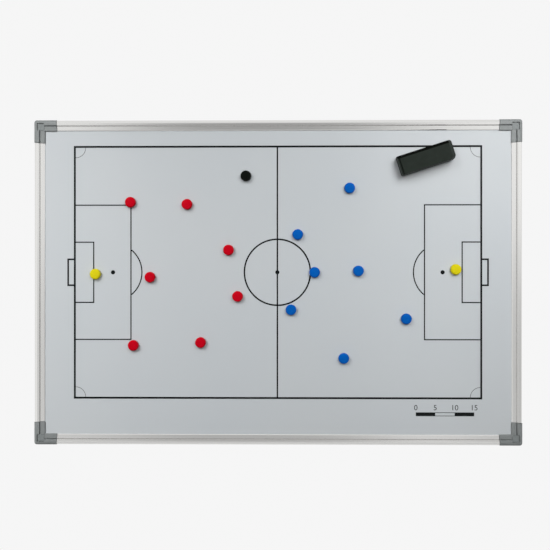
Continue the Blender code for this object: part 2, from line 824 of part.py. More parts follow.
def board_materials():
    """Finishes of the board's pieces."""
    return {
        "sheet": make_material("white_coated_steel", (0.62, 0.65, 0.67), 0.12),
        "core": make_material("core_board", (0.45, 0.36, 0.26), 0.85),
        "zinc": make_material("zinc_sheet", (0.50, 0.51, 0.52), 0.45, 1.0),
        "aluminium": make_material("anodised_aluminium", (0.70, 0.70, 0.69), 0.30, 1.0),
        "corner": make_material("grey_moulding", (0.24, 0.26, 0.26), 0.40),
        "cover": make_material("grey_cover", (0.21, 0.24, 0.24), 0.40),
        "screw": make_material("zinc_screw", (0.60, 0.60, 0.58), 0.35, 1.0),
        "ferrite": make_material("ferrite", (0.05, 0.05, 0.05), 0.60),
        "red": make_material("red_cap", (0.52, 0.005, 0.02), 0.25),
        "blue": make_material("blue_cap", (0.005, 0.10, 0.46), 0.25),
        "yellow": make_material("yellow_cap", (0.73, 0.66, 0.03), 0.25),
        "black": make_material("black_cap", (0.006, 0.008, 0.007), 0.25),
        "eraser": make_material("dark_housing", (0.020, 0.026, 0.022), 0.35),
        "felt": make_material("grey_felt", (0.10, 0.10, 0.10), 0.95),
    }


def smooth_round_pieces():
    """Shade every mesh smooth, except over its sharp edges."""
    for mesh in {piece.data for piece in bpy.data.objects if piece.type == "MESH"}:
        mesh.shade_smooth()
        mesh.set_sharp_from_angle(angle=SHARP_EDGE)


def main():
    clear_scene()
    materials = board_materials()
    build_panel(materials)
    build_rails(materials)
    build_corners(materials)
    build_magnets(materials)
    build_eraser(materials)
    smooth_round_pieces()


main()
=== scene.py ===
"""Looks of the wall board for team tactics: finishes, fine edges, printed pitch and studio."""

import json
import math

import bmesh
import bpy
from mathutils import Matrix, Vector

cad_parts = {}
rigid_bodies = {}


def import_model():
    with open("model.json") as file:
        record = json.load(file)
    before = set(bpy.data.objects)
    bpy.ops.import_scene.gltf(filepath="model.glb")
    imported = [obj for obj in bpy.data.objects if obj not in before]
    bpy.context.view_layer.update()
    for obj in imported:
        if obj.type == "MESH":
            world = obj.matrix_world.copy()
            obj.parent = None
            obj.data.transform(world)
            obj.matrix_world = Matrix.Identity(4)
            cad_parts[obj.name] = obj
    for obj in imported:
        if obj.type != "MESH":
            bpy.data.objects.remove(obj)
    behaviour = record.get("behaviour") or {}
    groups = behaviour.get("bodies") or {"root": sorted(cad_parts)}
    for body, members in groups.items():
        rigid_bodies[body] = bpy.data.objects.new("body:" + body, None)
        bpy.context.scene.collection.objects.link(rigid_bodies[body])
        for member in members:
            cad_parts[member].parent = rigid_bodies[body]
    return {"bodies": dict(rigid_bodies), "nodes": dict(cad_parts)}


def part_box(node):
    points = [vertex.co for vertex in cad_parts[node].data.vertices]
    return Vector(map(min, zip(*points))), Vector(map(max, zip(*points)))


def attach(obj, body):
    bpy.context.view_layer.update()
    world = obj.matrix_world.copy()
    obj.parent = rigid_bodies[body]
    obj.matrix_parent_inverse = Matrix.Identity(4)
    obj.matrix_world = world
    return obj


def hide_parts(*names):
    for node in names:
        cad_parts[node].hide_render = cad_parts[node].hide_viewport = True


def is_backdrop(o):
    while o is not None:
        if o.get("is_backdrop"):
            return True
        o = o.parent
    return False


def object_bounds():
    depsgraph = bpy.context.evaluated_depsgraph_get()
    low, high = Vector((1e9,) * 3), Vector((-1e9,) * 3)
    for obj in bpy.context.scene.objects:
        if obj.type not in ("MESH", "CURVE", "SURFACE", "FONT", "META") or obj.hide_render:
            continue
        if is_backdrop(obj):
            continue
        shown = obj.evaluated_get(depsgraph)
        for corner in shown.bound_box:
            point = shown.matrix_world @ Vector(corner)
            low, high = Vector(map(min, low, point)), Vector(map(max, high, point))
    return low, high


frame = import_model()
cad_low, cad_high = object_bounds()

NODES = frame["nodes"]
BODIES = frame["bodies"]

# Places read from the frame. A depth is measured from the wall plane towards the writing side.
HALF_WIDTH = -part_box("rail_left")[0].x
HALF_HEIGHT = -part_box("rail_bottom")[0].z
BEAD_FRONT = -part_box("rail_bottom")[0].y
SHEET_FRONT = -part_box("writing_sheet")[0].y
CORNER_PROUD = -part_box("corner_bottom_left")[0].x - HALF_WIDTH
COVER_FRONT = -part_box("screw_cover_bottom_left")[0].y
CAP_BACK = -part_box("magnet_red_1_cap")[1].y
CAP_FRONT = -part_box("magnet_red_1_cap")[0].y
ERASER_TOP = -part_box("eraser_housing")[0].y
ERASER_RIM = -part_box("eraser_housing")[1].y
STRIP_TOP = -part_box("eraser_magnet")[0].y

# All sizes are in metres.
FIT_GAP = 0.0003
END_GAP = 0.0006
OVERCUT = 0.004
EDGE_STEPS = 2
SMOOTH_BELOW = math.radians(30)
BEVEL_ABOVE = math.radians(35)

# Tolerances for merging points, dissolving slivers and telling which cut a face belongs to
MERGE = 1e-7
SLIVER = 0.000002
NEAR = 0.00002

# Section of the board's frame, as the CAD rails have it, with finer curves
RAIL_WIDTH = 0.0195
RAIL_WALL = 0.0014
BEAD_WIDTH = 0.0096
BEAD_ROUND_WIDTH = 0.007
BEAD_ROUND_DEPTH = 0.005
BEAD_RISE = 0.0014
BEAD_STEPS = 18
BEAD_CENTRE = (BEAD_ROUND_WIDTH, BEAD_FRONT - BEAD_ROUND_DEPTH)
LIP_FRONT = BEAD_FRONT - BEAD_RISE
GROOVE_WIDTH = 0.0018
GROOVE_SHOULDER = 0.0003
GROOVE_DROP = 0.001
# Share of the aluminium's colour kept on the groove's floor: painted shade
GROOVE_PAINTED_SHADE = 0.84
LIP_WALL = 0.0016
LIP_CHAMFER_WIDTH = 0.0012
LIP_CHAMFER_DEPTH = 0.0008
CHANNEL_FLOOR = 0.01
CHANNEL_BACK = 0.0043
BACK_LIP_WALL = 0.0014
RAIL_EDGE = 0.00018

# Corner piece
CORNER_ARM = 0.043
ARM_END = CORNER_ARM - CORNER_PROUD
CORNER_ROUND = 0.005
CORNER_ROUND_STEPS = 14
CORNER_WALL = 0.002
CORNER_RIB = 0.0012
CORNER_EDGE = 0.0002
END_WALL = 0.0025
END_LEAN = 0.0015
POCKET_DEPTH = 0.0135
LEG_LENGTH = 0.028
LEG_DEPTH = 0.011
LEG_TAPER_LENGTH = 0.004
LEG_TAPER = 0.001
LEG_GROOVE = 0.003
LEG_GROOVE_DEPTH = 0.004
WELL_INSET = 0.0125
WELL_RADIUS = 0.005
WELL_WALL = 0.0018
POST_RADIUS = WELL_RADIUS + WELL_WALL
WELL_FLOOR = 0.003
WALL_SCREW_HOLE_RADIUS = 0.0034
WELL_SIDES = 48

# Snap-in cover
COVER_SIDE = 0.0122
COVER_PRY_GAP = 0.0012
COVER_PLATE = 0.0012
COVER_CORNER_RADIUS = 0.0012
COVER_CORNER_STEPS = 6
COVER_EDGE = 0.0003
COVER_SKIRT_WALL = 0.001
COVER_SKIRT_LENGTH = 0.0045
COVER_SLOT = 0.0016

# Countersunk screws
SCREW_FROM_RAIL_END = 0.014
SCREW_FROM_CORNER = ARM_END + END_GAP + SCREW_FROM_RAIL_END
SCREW_SUNK = 0.0002
SCREW_HEAD_RADIUS = 0.0027
SCREW_HEAD_EDGE = 0.0002
SCREW_SHANK_RADIUS = 0.0014
SCREW_LENGTH = 0.0095
SCREW_TIP = 0.0015
SCREW_SIDES = 32
CROSS_LENGTH = 0.0032
CROSS_WIDTH = 0.0006
CROSS_DEPTH = 0.0011

# Round magnets
CAP_RADIUS = 0.01
CAP_DRAFT = 0.0002
CAP_FOOT = 0.0003
CAP_ROUND = 0.0026
CAP_CROWN = 0.0004
CAP_WALL = 0.0012
CAP_DISC = 0.0045
CAP_SIDES = 96
CAP_ROUND_STEPS = 10
CAP_CROWN_STEPS = 6

# Eraser
ERASER_TURN = math.radians(17.8)
ERASER_LENGTH = 0.105
ERASER_WIDTH = 0.037
TAIL_RADIUS = 0.003
NOSE_UPPER_RADIUS = 0.005
NOSE_LOWER_RADIUS = 0.0095
LEAST_RADIUS = 0.001
ERASER_WALL = 0.002
ERASER_CEILING = 0.002
RIM_BAND = 0.0025
GRIP_HEIGHT = 0.005
ERASER_SHOULDER = ERASER_RIM + RIM_BAND + GRIP_HEIGHT
GRIP_RUN = 0.0012
GRIP_DEPTH = 0.0014
TOP_IN = 0.0018
TOP_ROUND = 0.0012
TOP_ROUND_STEPS = 4
NOSE_RUN = 0.007
TOP_REBATE_WIDTH = 0.0038
TOP_REBATE_DEPTH = 0.002
TAIL_STRIP = 0.0032
TAIL_GROOVE_WIDTH = 0.0018
CUT_FLOOR = ERASER_TOP - TOP_REBATE_DEPTH
REBATE_EDGE = ERASER_WIDTH / 2 - TOP_IN - TOP_REBATE_WIDTH
TAIL_GROOVE_START = TAIL_STRIP - ERASER_LENGTH / 2
TAIL_GROOVE_END = TAIL_GROOVE_START + TAIL_GROOVE_WIDTH
ERASER_CORNER_STEPS = 10
HOUSING_RIB = 0.0015
HOUSING_RIB_COUNT = 3
MAGNET_STRIP_LENGTH = 0.07
HOUSING_RIB_STEP = MAGNET_STRIP_LENGTH / HOUSING_RIB_COUNT
FELT_FUZZ = 0.00012
FELT_CELL = 0.0016
FELT_RINGS = 5
FELT_CUTS = 3
# How fast the felt's unevenness runs along X, Z and the depth, in radians a metre
FELT_WAVES = (3100, 2700, 1900)

# Printed pitch, measured to the middle of its lines
INK_RISE = 0.00006
INK_STEP = 0.000012
PITCH_HALF_LENGTH = 0.3745
PITCH_HALF_HEIGHT = 0.23175
PITCH_CENTRE_Z = 0.0186
OUTER_LINE = 0.0036
CENTRE_LINE = 0.0027
CIRCLE_LINE = 0.0029
GOAL_LINE = 0.0031
BOX_LINE = 0.0022
CORNER_LINE = 0.0011
PENALTY_DEPTH = 0.104
PENALTY_HALF = 0.124
GOAL_AREA_DEPTH = 0.035
GOAL_AREA_HALF = 0.0556
GOAL_DEPTH = 0.0124
GOAL_HALF = 0.0239
CIRCLE_RADIUS = 0.0608
SPOT_RADIUS = 0.0039
SPOT_FROM_GOAL = 0.0708
PENALTY_ARC_RADIUS = 0.0535
CORNER_ARC_RADIUS = 0.02
CIRCLE_STEPS = 160
LEAST_ARC_STEPS = 6
SPOT_SIDES = 40

# Scale under the pitch: a bar in steps of five metres, with plain numbers
SCALE_PLACE = (0.308, -0.246)
SCALE_STEP = 5
SCALE_STEPS = 3
PITCH_REAL_LENGTH = 105
SCALE_BAR = 0.007
SCALE_EDGE = 0.001
SCALE_DIGIT = 0.014
SCALE_GAP = 0.004

# Camera: it stands a little right of the middle and looks almost squarely at the board
CAMERA_DISTANCE = 1.6
CAMERA_YAW = math.radians(0.8)
CAMERA_AIM = Vector((-0.0046, 0.0, 0.0136))
CAMERA_LENS = 56.3

# Studio
BACKGROUND = 0.92
SOFT_LIGHT = 0.10
FLOOR_COLOUR = (0.50, 0.50, 0.50)
FLOOR_GLOW = 0.62
FLOOR_LEVEL = -1.3
FLOOR_RADIUS = 2.5
FLOOR_SIDES = 96
FLOOR_FADE = (FLOOR_RADIUS * 0.4, FLOOR_RADIUS * 0.96)
FLOOR_ROUGHNESS = 0.8
LAMP_SIZE = (1.0, 1.3)
# Each lamp's name, place, the point it is turned to, spread and power
LAMPS = (
    ("lamp_left", (-1.12, -1.3, 0.77), (-0.6, 0, -0.1), 1.2, 5.95),
    ("lamp_right", (0.84, -1.3, 0.90), (0.58, 0, 0.34), 1.2, 5.45),
    ("lamp_back", (0.6, 2.2, 1.2), (0, 0, 0), math.pi, 26),
)

# Middle range of a pattern's values, which a finish carries onto a range of its own
PATTERN_RANGE = (0.3, 0.7)


def arc(centre, radii, start, end, steps):
    """Points of an elliptical arc, angles in degrees."""
    points = []
    for index in range(steps + 1):
        angle = math.radians(start + (end - start) * index / steps)
        x = centre[0] + radii[0] * math.cos(angle)
        y = centre[1] + radii[1] * math.sin(angle)
        points.append((x, y))
    return points


def rounded_rectangle(length, width, radius, steps):
    """Outline of a rectangle with rounded corners, centred on the origin."""
    x = length / 2 - radius
    z = width / 2 - radius
    points = []
    for quarter, (sx, sz) in enumerate(((1, 1), (-1, 1), (-1, -1), (1, -1))):
        first = quarter * 90
        points += arc((sx * x, sz * z), (radius, radius), first, first + 90, steps)
    return points


def placed(x=0.0, z=0.0, turn=0.0):
    """Matrix that turns in the plane of the board, then moves."""
    return Matrix.Translation((x, 0, z)) @ Matrix.Rotation(turn, 4, "Y")


def middle_of(low, high, turn=0.0):
    """Matrix that turns, then moves to the middle of a box."""
    return placed((low.x + high.x) / 2, (low.z + high.z) / 2, turn)


def new_object(name, data):
    """New object, linked to the scene."""
    made = bpy.data.objects.new(name, data)
    bpy.context.scene.collection.objects.link(made)
    return made


def clean(shape):
    """Merge doubles and point the faces outwards."""
    bmesh.ops.remove_doubles(shape, verts=shape.verts, dist=MERGE)
    bmesh.ops.recalc_face_normals(shape, faces=shape.faces)


def close_ends(shape):
    """Fill the open rims of a bmesh."""
    rims = [edge for edge in shape.edges if edge.is_boundary]
    if rims:
        bmesh.ops.holes_fill(shape, edges=rims)


def bmesh_of(meshes):
    """One bmesh from several meshes."""
    shape = bmesh.new()
    for mesh in meshes:
        shape.from_mesh(mesh)
    return shape


def mesh_of(shape):
    """Turn a bmesh into a mesh."""
    mesh = bpy.data.meshes.new("mesh")
    shape.to_mesh(mesh)
    shape.free()
    return mesh


def closed_mesh(shape):
    """Clean a bmesh and turn it into a mesh."""
    clean(shape)
    return mesh_of(shape)


def loft(rings, edge=0.0):
    """Carry one closed ring of points through the others, and close both ends."""
    shape = bmesh.new()
    index = shape.verts.layers.int.new("index")
    verts = [shape.verts.new(point) for point in rings[0]]
    for number, vert in enumerate(verts):
        vert[index] = number
    edges = [shape.edges.new(pair) for pair in zip(verts, verts[1:] + verts[:1])]
    for ring in rings[1:]:
        grown = bmesh.ops.extrude_edge_only(shape, edges=edges)["geom"]
        edges = [item for item in grown if isinstance(item, bmesh.types.BMEdge)]
        for vert in (item for item in grown if isinstance(item, bmesh.types.BMVert)):
            vert.co = ring[vert[index]]
        edges = [item for item in edges if item.is_boundary]
    close_ends(shape)
    if edge:
        clean(shape)
        soften(shape, edge)
    return closed_mesh(shape)


def soften(shape, width):
    """Bevel the sharp outward edges of a closed bmesh."""
    shape.normal_update()
    outward = [edge for edge in shape.edges if edge.is_manifold and edge.is_convex]
    sharp = [edge for edge in outward if edge.calc_face_angle() > BEVEL_ABOVE]
    bmesh.ops.bevel(
        shape,
        geom=sharp,
        offset=width,
        offset_type="OFFSET",
        segments=EDGE_STEPS,
        profile=0.5,
        affect="EDGES",
        clamp_overlap=True,
        material=-1,
    )


def slab(outline, low, high, edge=0.0):
    """Extrude an (x, z) outline between two depths."""
    return loft([[(x, -depth, z) for x, z in outline] for depth in (low, high)], edge)


def box_slab(x_span, z_span, low, high):
    """Rectangular slab between two depths."""
    (x0, x1), (z0, z1) = x_span, z_span
    return slab([(x0, z0), (x1, z0), (x1, z1), (x0, z1)], low, high)


def spin(shape, parts, axis, angle, steps):
    """Spin points and edges round an axis through the origin."""
    bmesh.ops.spin(
        shape,
        geom=parts,
        cent=(0, 0, 0),
        axis=axis,
        angle=angle,
        steps=steps,
        use_merge=math.isclose(angle, math.tau),
    )


def turned(profile, sides):
    """Spin a (radius, depth) profile, which starts and ends on the depth axis, round it."""
    shape = bmesh.new()
    verts = [shape.verts.new((radius, -depth, 0)) for radius, depth in profile]
    edges = [shape.edges.new(pair) for pair in zip(verts, verts[1:])]
    spin(shape, verts + edges, (0, 1, 0), math.tau, sides)
    return closed_mesh(shape)


def band(centre, radius, width, start, end, rise):
    """Flat printed arc of a given width, from one angle to another, in degrees."""
    shape = bmesh.new()
    turn = math.radians(start)
    inner = radius - width / 2
    outer = radius + width / 2
    verts = []
    for reach, height in ((inner, 0), (outer, 0), (outer, rise), (inner, rise)):
        place = (reach * math.cos(turn), -SHEET_FRONT - height, reach * math.sin(turn))
        verts.append(shape.verts.new(place))
    edges = [shape.edges.new(pair) for pair in zip(verts, verts[1:] + verts[:1])]
    steps = max(LEAST_ARC_STEPS, round(CIRCLE_STEPS * (end - start) / 360))
    spin(shape, verts + edges, (0, -1, 0), math.radians(end - start), steps)
    close_ends(shape)
    bmesh.ops.translate(shape, verts=shape.verts, vec=(centre[0], 0, centre[1]))
    return closed_mesh(shape)


def combined(base, others, operation="DIFFERENCE"):
    """Mesh of a Boolean between a base mesh and others, each given with its matrix."""
    body = new_object("body", base)
    helpers = []
    for mesh, matrix in others:
        helper = new_object("helper", mesh)
        helper.matrix_world = matrix
        step = body.modifiers.new("step", "BOOLEAN")
        step.operation = operation
        step.solver = "EXACT"
        step.object = helper
        helpers.append(helper)
    graph = bpy.context.evaluated_depsgraph_get()
    made = bpy.data.meshes.new_from_object(body.evaluated_get(graph))
    for helper in helpers + [body]:
        bpy.data.objects.remove(helper)
    shape = bmesh_of([made])
    bmesh.ops.dissolve_degenerate(shape, edges=shape.edges, dist=SLIVER)
    shape.to_mesh(made)
    shape.free()
    return made


def joined(meshes):
    """One mesh from several, each kept as its own closed body."""
    return mesh_of(bmesh_of(meshes))


def add_piece(name, mesh, matrix, body, finish, nodes=(), flats=True):
    """Place a copy of a mesh as a finished piece; flats keeps the shading of its flats even."""
    own = mesh.copy()
    own.name = name
    own.transform(matrix)
    own.materials.append(finish)
    own.shade_smooth()
    own.set_sharp_from_angle(angle=SMOOTH_BELOW)
    piece = new_object(name, own)
    if flats:
        even = piece.modifiers.new("even_flats", "WEIGHTED_NORMAL")
        even.keep_sharp = True
    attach(piece, body)
    if nodes:
        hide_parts(*nodes)
    return piece


def dress_node(name, finish):
    """Give a CAD node its finish."""
    data = NODES[name].data
    data.materials.clear()
    data.materials.append(finish)


class ShaderTree:
    """Node tree of a material or of the world, with short calls for its nodes."""

    def __init__(self, owner):
        owner.use_nodes = True
        self.nodes = owner.node_tree.nodes
        self.links = owner.node_tree.links

    def feed(self, socket, value):
        """Link a socket to another node's output, or set it."""
        if isinstance(value, bpy.types.NodeSocket):
            self.links.new(value, socket)
        else:
            socket.default_value = value

    def fill(self, node, **sockets):
        """Feed a node's inputs by their names."""
        for name, value in sockets.items():
            self.feed(node.inputs[name.replace("_", " ")], value)
        return node

    def add(self, kind, **sockets):
        """New node with its inputs fed."""
        return self.fill(self.nodes.new("ShaderNode" + kind), **sockets)

    def ranged(self, value, start, end, low, high, kind="SMOOTHSTEP"):
        """Carry the range from start to end onto the range from low to high."""
        node = self.add(
            "MapRange", Value=value, From_Min=start, From_Max=end, To_Min=low, To_Max=high
        )
        node.interpolation_type = kind
        return node.outputs["Result"]

    def maths(self, operation, *values):
        """Result of one step of arithmetic."""
        node = self.add("Math")
        node.operation = operation
        for socket, value in zip(node.inputs, values):
            self.feed(socket, value)
        return node.outputs["Value"]

    def rays(self):
        """Whether a ray is the camera's, and whether it left a shiny or clear surface."""
        path = self.add("LightPath").outputs
        shiny = self.maths("MAXIMUM", path["Is Glossy Ray"], path["Is Transmission Ray"])
        return path["Is Camera Ray"], shiny


class Finish(ShaderTree):
    """A Principled material with its pattern nodes, built step by step."""

    def __init__(self, name, colour, roughness, metallic=0.0, scale=(1, 1, 1)):
        self.material = bpy.data.materials.new(name)
        super().__init__(self.material)
        self.material.diffuse_color = (*colour, 1.0)
        self.shader = self.nodes["Principled BSDF"]
        self.set(Base_Color=(*colour, 1.0), Roughness=roughness, Metallic=metallic)
        coordinates = self.add("TexCoord").outputs["Object"]
        self.place = self.add("Mapping", Vector=coordinates, Scale=scale).outputs["Vector"]
        self.height = None

    def set(self, **values):
        """Set the shader's sockets, or link them to patterns."""
        self.fill(self.shader, **values)
        return self

    def noise(self, scale, detail=3.0, roughness=0.5, distortion=0.0):
        """Noise value on the piece's own coordinates."""
        node = self.add("TexNoise", Vector=self.place, Scale=scale, Detail=detail)
        return self.fill(node, Roughness=roughness, Distortion=distortion).outputs["Fac"]

    def cells(self, scale, output="Distance"):
        """Cell pattern on the piece's own coordinates."""
        return self.add("TexVoronoi", Vector=self.place, Scale=scale).outputs[output]

    def spread(self, value, low, high):
        """Carry a pattern's middle range onto another range."""
        return self.ranged(value, *PATTERN_RANGE, low, high, "LINEAR")

    def tint(self, value, shade, strength=1.0):
        """Blend the colour towards another shade where the pattern is high."""
        base = self.shader.inputs["Base Color"]
        colour = base.links[0].from_socket if base.is_linked else tuple(base.default_value)
        mix = self.add("Mix")
        mix.data_type = "RGBA"
        self.fill(mix, A=colour, B=(*shade, 1.0), Factor=self.spread(value, 0.0, strength))
        return self.set(Base_Color=mix.outputs["Result"])

    def vary_roughness(self, value, low, high):
        """Let the roughness follow a pattern."""
        return self.set(Roughness=self.spread(value, low, high))

    def bump(self, value, distance, strength=1.0):
        """Raise the surface by a pattern; several bumps add up."""
        node = self.add("Bump", Height=value, Distance=distance, Strength=strength)
        if self.height is not None:
            self.fill(node, Normal=self.height)
        self.height = node.outputs["Normal"]
        return self.set(Normal=self.height)


def coated_sheet_finish():
    """Glossy white coat on steel, with the faint unevenness of a wiped board."""
    made = Finish("white_coated_steel", (0.60, 0.632, 0.650), 0.13)
    made.set(Coat_Weight=0.35, Coat_Roughness=0.06)
    made.tint(made.noise(3.5, 2.0), (0.575, 0.612, 0.640), 0.8)
    made.vary_roughness(made.noise(9.0, 5.0, 0.6, 1.5), 0.10, 0.18)
    return made.bump(made.noise(70.0, 2.0), 0.00004, 0.5).material


def pitch_ink_finish():
    """Black screen-printed ink under the coat."""
    made = Finish("pitch_ink", (0.003, 0.0042, 0.0042), 0.30)
    made.set(Specular_IOR_Level=0.12)
    made.tint(made.noise(900.0, 2.0), (0.006, 0.008, 0.008), 0.8)
    return made.bump(made.noise(2500.0, 2.0), 0.00001, 0.5).material


def corner_ink_finish():
    """Fine grey lines of the corner arcs."""
    made = Finish("corner_arc_ink", (0.16, 0.17, 0.17), 0.25)
    return made.tint(made.noise(900.0, 2.0), (0.22, 0.23, 0.23), 0.8).material


def aluminium_finish(name, along, share=1.0):
    """Satin anodised aluminium whose fine lines run along the extrusion."""
    scale = (1.0, 200.0, 200.0) if along == "X" else (200.0, 200.0, 1.0)
    # A share below one darkens both tones: painted shade for the groove's copy
    bright, dull = (
        tuple(share * value for value in tone)
        for tone in ((0.77, 0.765, 0.75), (0.71, 0.707, 0.695))
    )
    made = Finish(name, bright, 0.18, 1.0, scale)
    made.tint(made.noise(14.0, 4.0, 0.6), dull, 0.9)
    made.vary_roughness(made.noise(25.0, 3.0, 0.6), 0.15, 0.21)
    return made.bump(made.noise(60.0, 2.0), 0.00001, 0.3).material


def moulding_finish(name, colour, shade):
    """Grey moulded plastic with a fine eroded grain, rubbed lighter in places."""
    made = Finish(name, colour, 0.42)
    made.set(Specular_IOR_Level=0.8)
    made.tint(made.noise(120.0, 4.0, 0.6), shade, 0.7)
    made.vary_roughness(made.noise(300.0, 3.0), 0.36, 0.50)
    made.bump(made.noise(2600.0, 2.0), 0.00006, 0.6)
    return made.bump(made.noise(60.0, 2.0), 0.0001, 0.25).material


def cap_finish(name, colour, shade):
    """Deeply coloured moulded cap with a slight flow pattern and fine wear."""
    made = Finish(name, colour, 0.30)
    made.set(Specular_IOR_Level=0.08)
    made.tint(made.noise(160.0, 3.0, 0.5, 1.0), shade, 0.6)
    made.vary_roughness(made.noise(500.0, 4.0, 0.7), 0.24, 0.38)
    return made.bump(made.noise(350.0, 2.0), 0.00003, 0.4).material


def ferrite_finish():
    """Ground ferrite: dark grey with pale specks."""
    made = Finish("ferrite", (0.045, 0.045, 0.047), 0.6)
    made.tint(made.noise(1800.0, 4.0, 0.7), (0.10, 0.10, 0.105), 0.8)
    made.vary_roughness(made.noise(700.0), 0.5, 0.7)
    return made.bump(made.noise(1500.0, 4.0, 0.7), 0.00005, 0.6).material


def zinc_sheet_finish():
    """Galvanised sheet with its crystal spangle."""
    made = Finish("zinc_sheet", (0.50, 0.51, 0.52), 0.45, 0.85)
    made.tint(made.cells(75.0, output="Color"), (0.62, 0.63, 0.645), 0.9)
    made.tint(made.noise(22.0, 5.0, 0.65), (0.43, 0.44, 0.45), 0.6)
    made.vary_roughness(made.cells(75.0, output="Color"), 0.36, 0.54)
    return made.bump(made.cells(75.0), 0.00003, 0.4).material


def core_board_finish():
    """Raw edge of the panel's core board."""
    made = Finish("core_board", (0.45, 0.36, 0.26), 0.85, 0.0, (1.0, 6.0, 1.0))
    made.tint(made.noise(420.0, 6.0, 0.75), (0.31, 0.23, 0.15), 0.9)
    made.vary_roughness(made.noise(300.0), 0.78, 0.92)
    return made.bump(made.noise(500.0, 6.0, 0.75), 0.0003, 0.8).material


def screw_finish():
    """Bright zinc plate."""
    made = Finish("zinc_screw", (0.63, 0.63, 0.60), 0.3, 1.0)
    made.tint(made.noise(500.0, 3.0), (0.70, 0.66, 0.52), 0.7)
    made.vary_roughness(made.noise(900.0, 3.0), 0.24, 0.42)
    return made.bump(made.noise(1800.0, 2.0), 0.00003, 0.4).material


def dark_housing_finish():
    """Dark green-grey satin moulding of the eraser."""
    made = Finish("dark_housing", (0.010, 0.0145, 0.011), 0.42)
    made.set(Specular_IOR_Level=0.18)
    made.tint(made.noise(90.0, 4.0, 0.6), (0.014, 0.0195, 0.0155), 0.8)
    made.vary_roughness(made.noise(260.0, 4.0, 0.6), 0.36, 0.50)
    made.bump(made.noise(2200.0, 2.0), 0.00006, 0.5)
    return made.bump(made.noise(45.0, 2.0), 0.00012, 0.3).material


def cut_painted_shade_finish():
    """Painted shade: deep black, matt floor and sides of the cuts in the eraser's top."""
    made = Finish("housing_cut_painted_shade", (0.002, 0.0025, 0.002), 0.9)
    made.set(Specular_IOR_Level=0.08)
    made.tint(made.noise(300.0, 3.0), (0.004, 0.005, 0.004), 0.8)
    return made.bump(made.noise(900.0, 2.0), 0.00005, 0.5).material


def felt_finish():
    """Pressed grey felt: matted fibres and a soft sheen."""
    made = Finish("grey_felt", (0.10, 0.10, 0.102), 0.95)
    made.set(Sheen_Weight=0.35, Sheen_Roughness=0.5)
    made.tint(made.noise(700.0, 8.0, 0.8, 2.5), (0.19, 0.19, 0.195), 0.9)
    made.tint(made.noise(60.0, 4.0), (0.06, 0.06, 0.062), 0.6)
    return made.bump(made.noise(1400.0, 8.0, 0.8, 2.5), 0.0004, 1.0).material


def frame_section(proud=0.0):
    """Frame's section as (inset, depth); proud swells its sides and the front of bead and lip."""
    channel_front = LIP_FRONT - LIP_WALL
    radii = (BEAD_ROUND_WIDTH + proud, BEAD_ROUND_DEPTH + proud)
    groove_end = BEAD_WIDTH + GROOVE_WIDTH
    inner = RAIL_WIDTH + proud
    lip = LIP_FRONT + proud
    back_lip = CHANNEL_BACK - BACK_LIP_WALL
    return [
        (-proud, 0),
        *arc(BEAD_CENTRE, radii, 180, 90, BEAD_STEPS),
        (BEAD_WIDTH, BEAD_FRONT + proud),
        (BEAD_WIDTH, lip - GROOVE_SHOULDER),
        (BEAD_WIDTH + GROOVE_WIDTH / 2, LIP_FRONT - GROOVE_DROP),
        (groove_end, lip - GROOVE_SHOULDER),
        (groove_end, lip),
        (inner - LIP_CHAMFER_WIDTH, lip),
        (inner, lip - LIP_CHAMFER_DEPTH),
        (inner, channel_front),
        (CHANNEL_FLOOR, channel_front),
        (CHANNEL_FLOOR, CHANNEL_BACK),
        (inner, CHANNEL_BACK),
        (inner, back_lip),
        (CHANNEL_FLOOR, back_lip),
        (CHANNEL_FLOOR, 0),
    ]


def chamber_section():
    """Hollow of the rail as (inset, depth), one wall inside its outer faces."""
    radii = (BEAD_ROUND_WIDTH - RAIL_WALL, BEAD_ROUND_DEPTH - RAIL_WALL)
    inner = CHANNEL_FLOOR - RAIL_WALL
    ceiling = BEAD_FRONT - RAIL_WALL
    return [
        (RAIL_WALL, RAIL_WALL),
        *arc(BEAD_CENTRE, radii, 180, 90, BEAD_STEPS // 2),
        (inner - RAIL_WALL, ceiling),
        (inner, ceiling - 2 * RAIL_WALL),
        (inner, RAIL_WALL),
    ]


def lean_at(inset):
    """How far short of its inner edge the leaning end of an arm is at an inset."""
    return END_LEAN * (1 - inset / RAIL_WIDTH)


def bar_of_section(section, end, edge=0.0):
    """Extrude an (inset, depth) section along X; its end is a function of the inset."""
    return loft([[(side * end(u), -v, u) for u, v in section] for side in (-1, 1)], edge)


def rail_mesh(half_board):
    """Rail of the bottom side, its edges eased, with its chamber and screw holes."""
    half = half_board - ARM_END - END_GAP
    solid = bar_of_section(frame_section(), lambda inset: half + lean_at(inset), RAIL_EDGE)
    chamber = bar_of_section(chamber_section(), lambda inset: half + END_LEAN + OVERCUT)
    seat = countersink_mesh()
    cuts = [(chamber, placed())]
    for side in (-1, 1):
        cuts.append((seat, placed(side * (half - SCREW_FROM_RAIL_END), CHANNEL_FLOOR / 2)))
    rail = combined(solid, cuts)
    mark_groove(rail)
    return rail


def mark_groove(mesh):
    """Give the sloping floor of the frame's groove the second material, whose darker colour is
    painted shade.
    """
    for face in mesh.polygons:
        across = BEAD_WIDTH < face.center.z < BEAD_WIDTH + GROOVE_WIDTH
        deep = LIP_FRONT - LIP_WALL < -face.center.y < LIP_FRONT - GROOVE_SHOULDER
        if across and deep:
            face.material_index = 1


def countersink_mesh():
    """Cutter for a screw's clearance hole and its countersink."""
    wide = SCREW_HEAD_RADIUS + math.sqrt(2) * FIT_GAP
    narrow = SCREW_SHANK_RADIUS + FIT_GAP
    start = SCREW_SUNK + SCREW_HEAD_EDGE
    profile = [
        (0, -OVERCUT),
        (wide, -OVERCUT),
        (wide, start),
        (narrow, start + wide - narrow),
        (narrow, RAIL_WALL + OVERCUT),
        (0, RAIL_WALL + OVERCUT),
    ]
    return turned(profile, SCREW_SIDES)


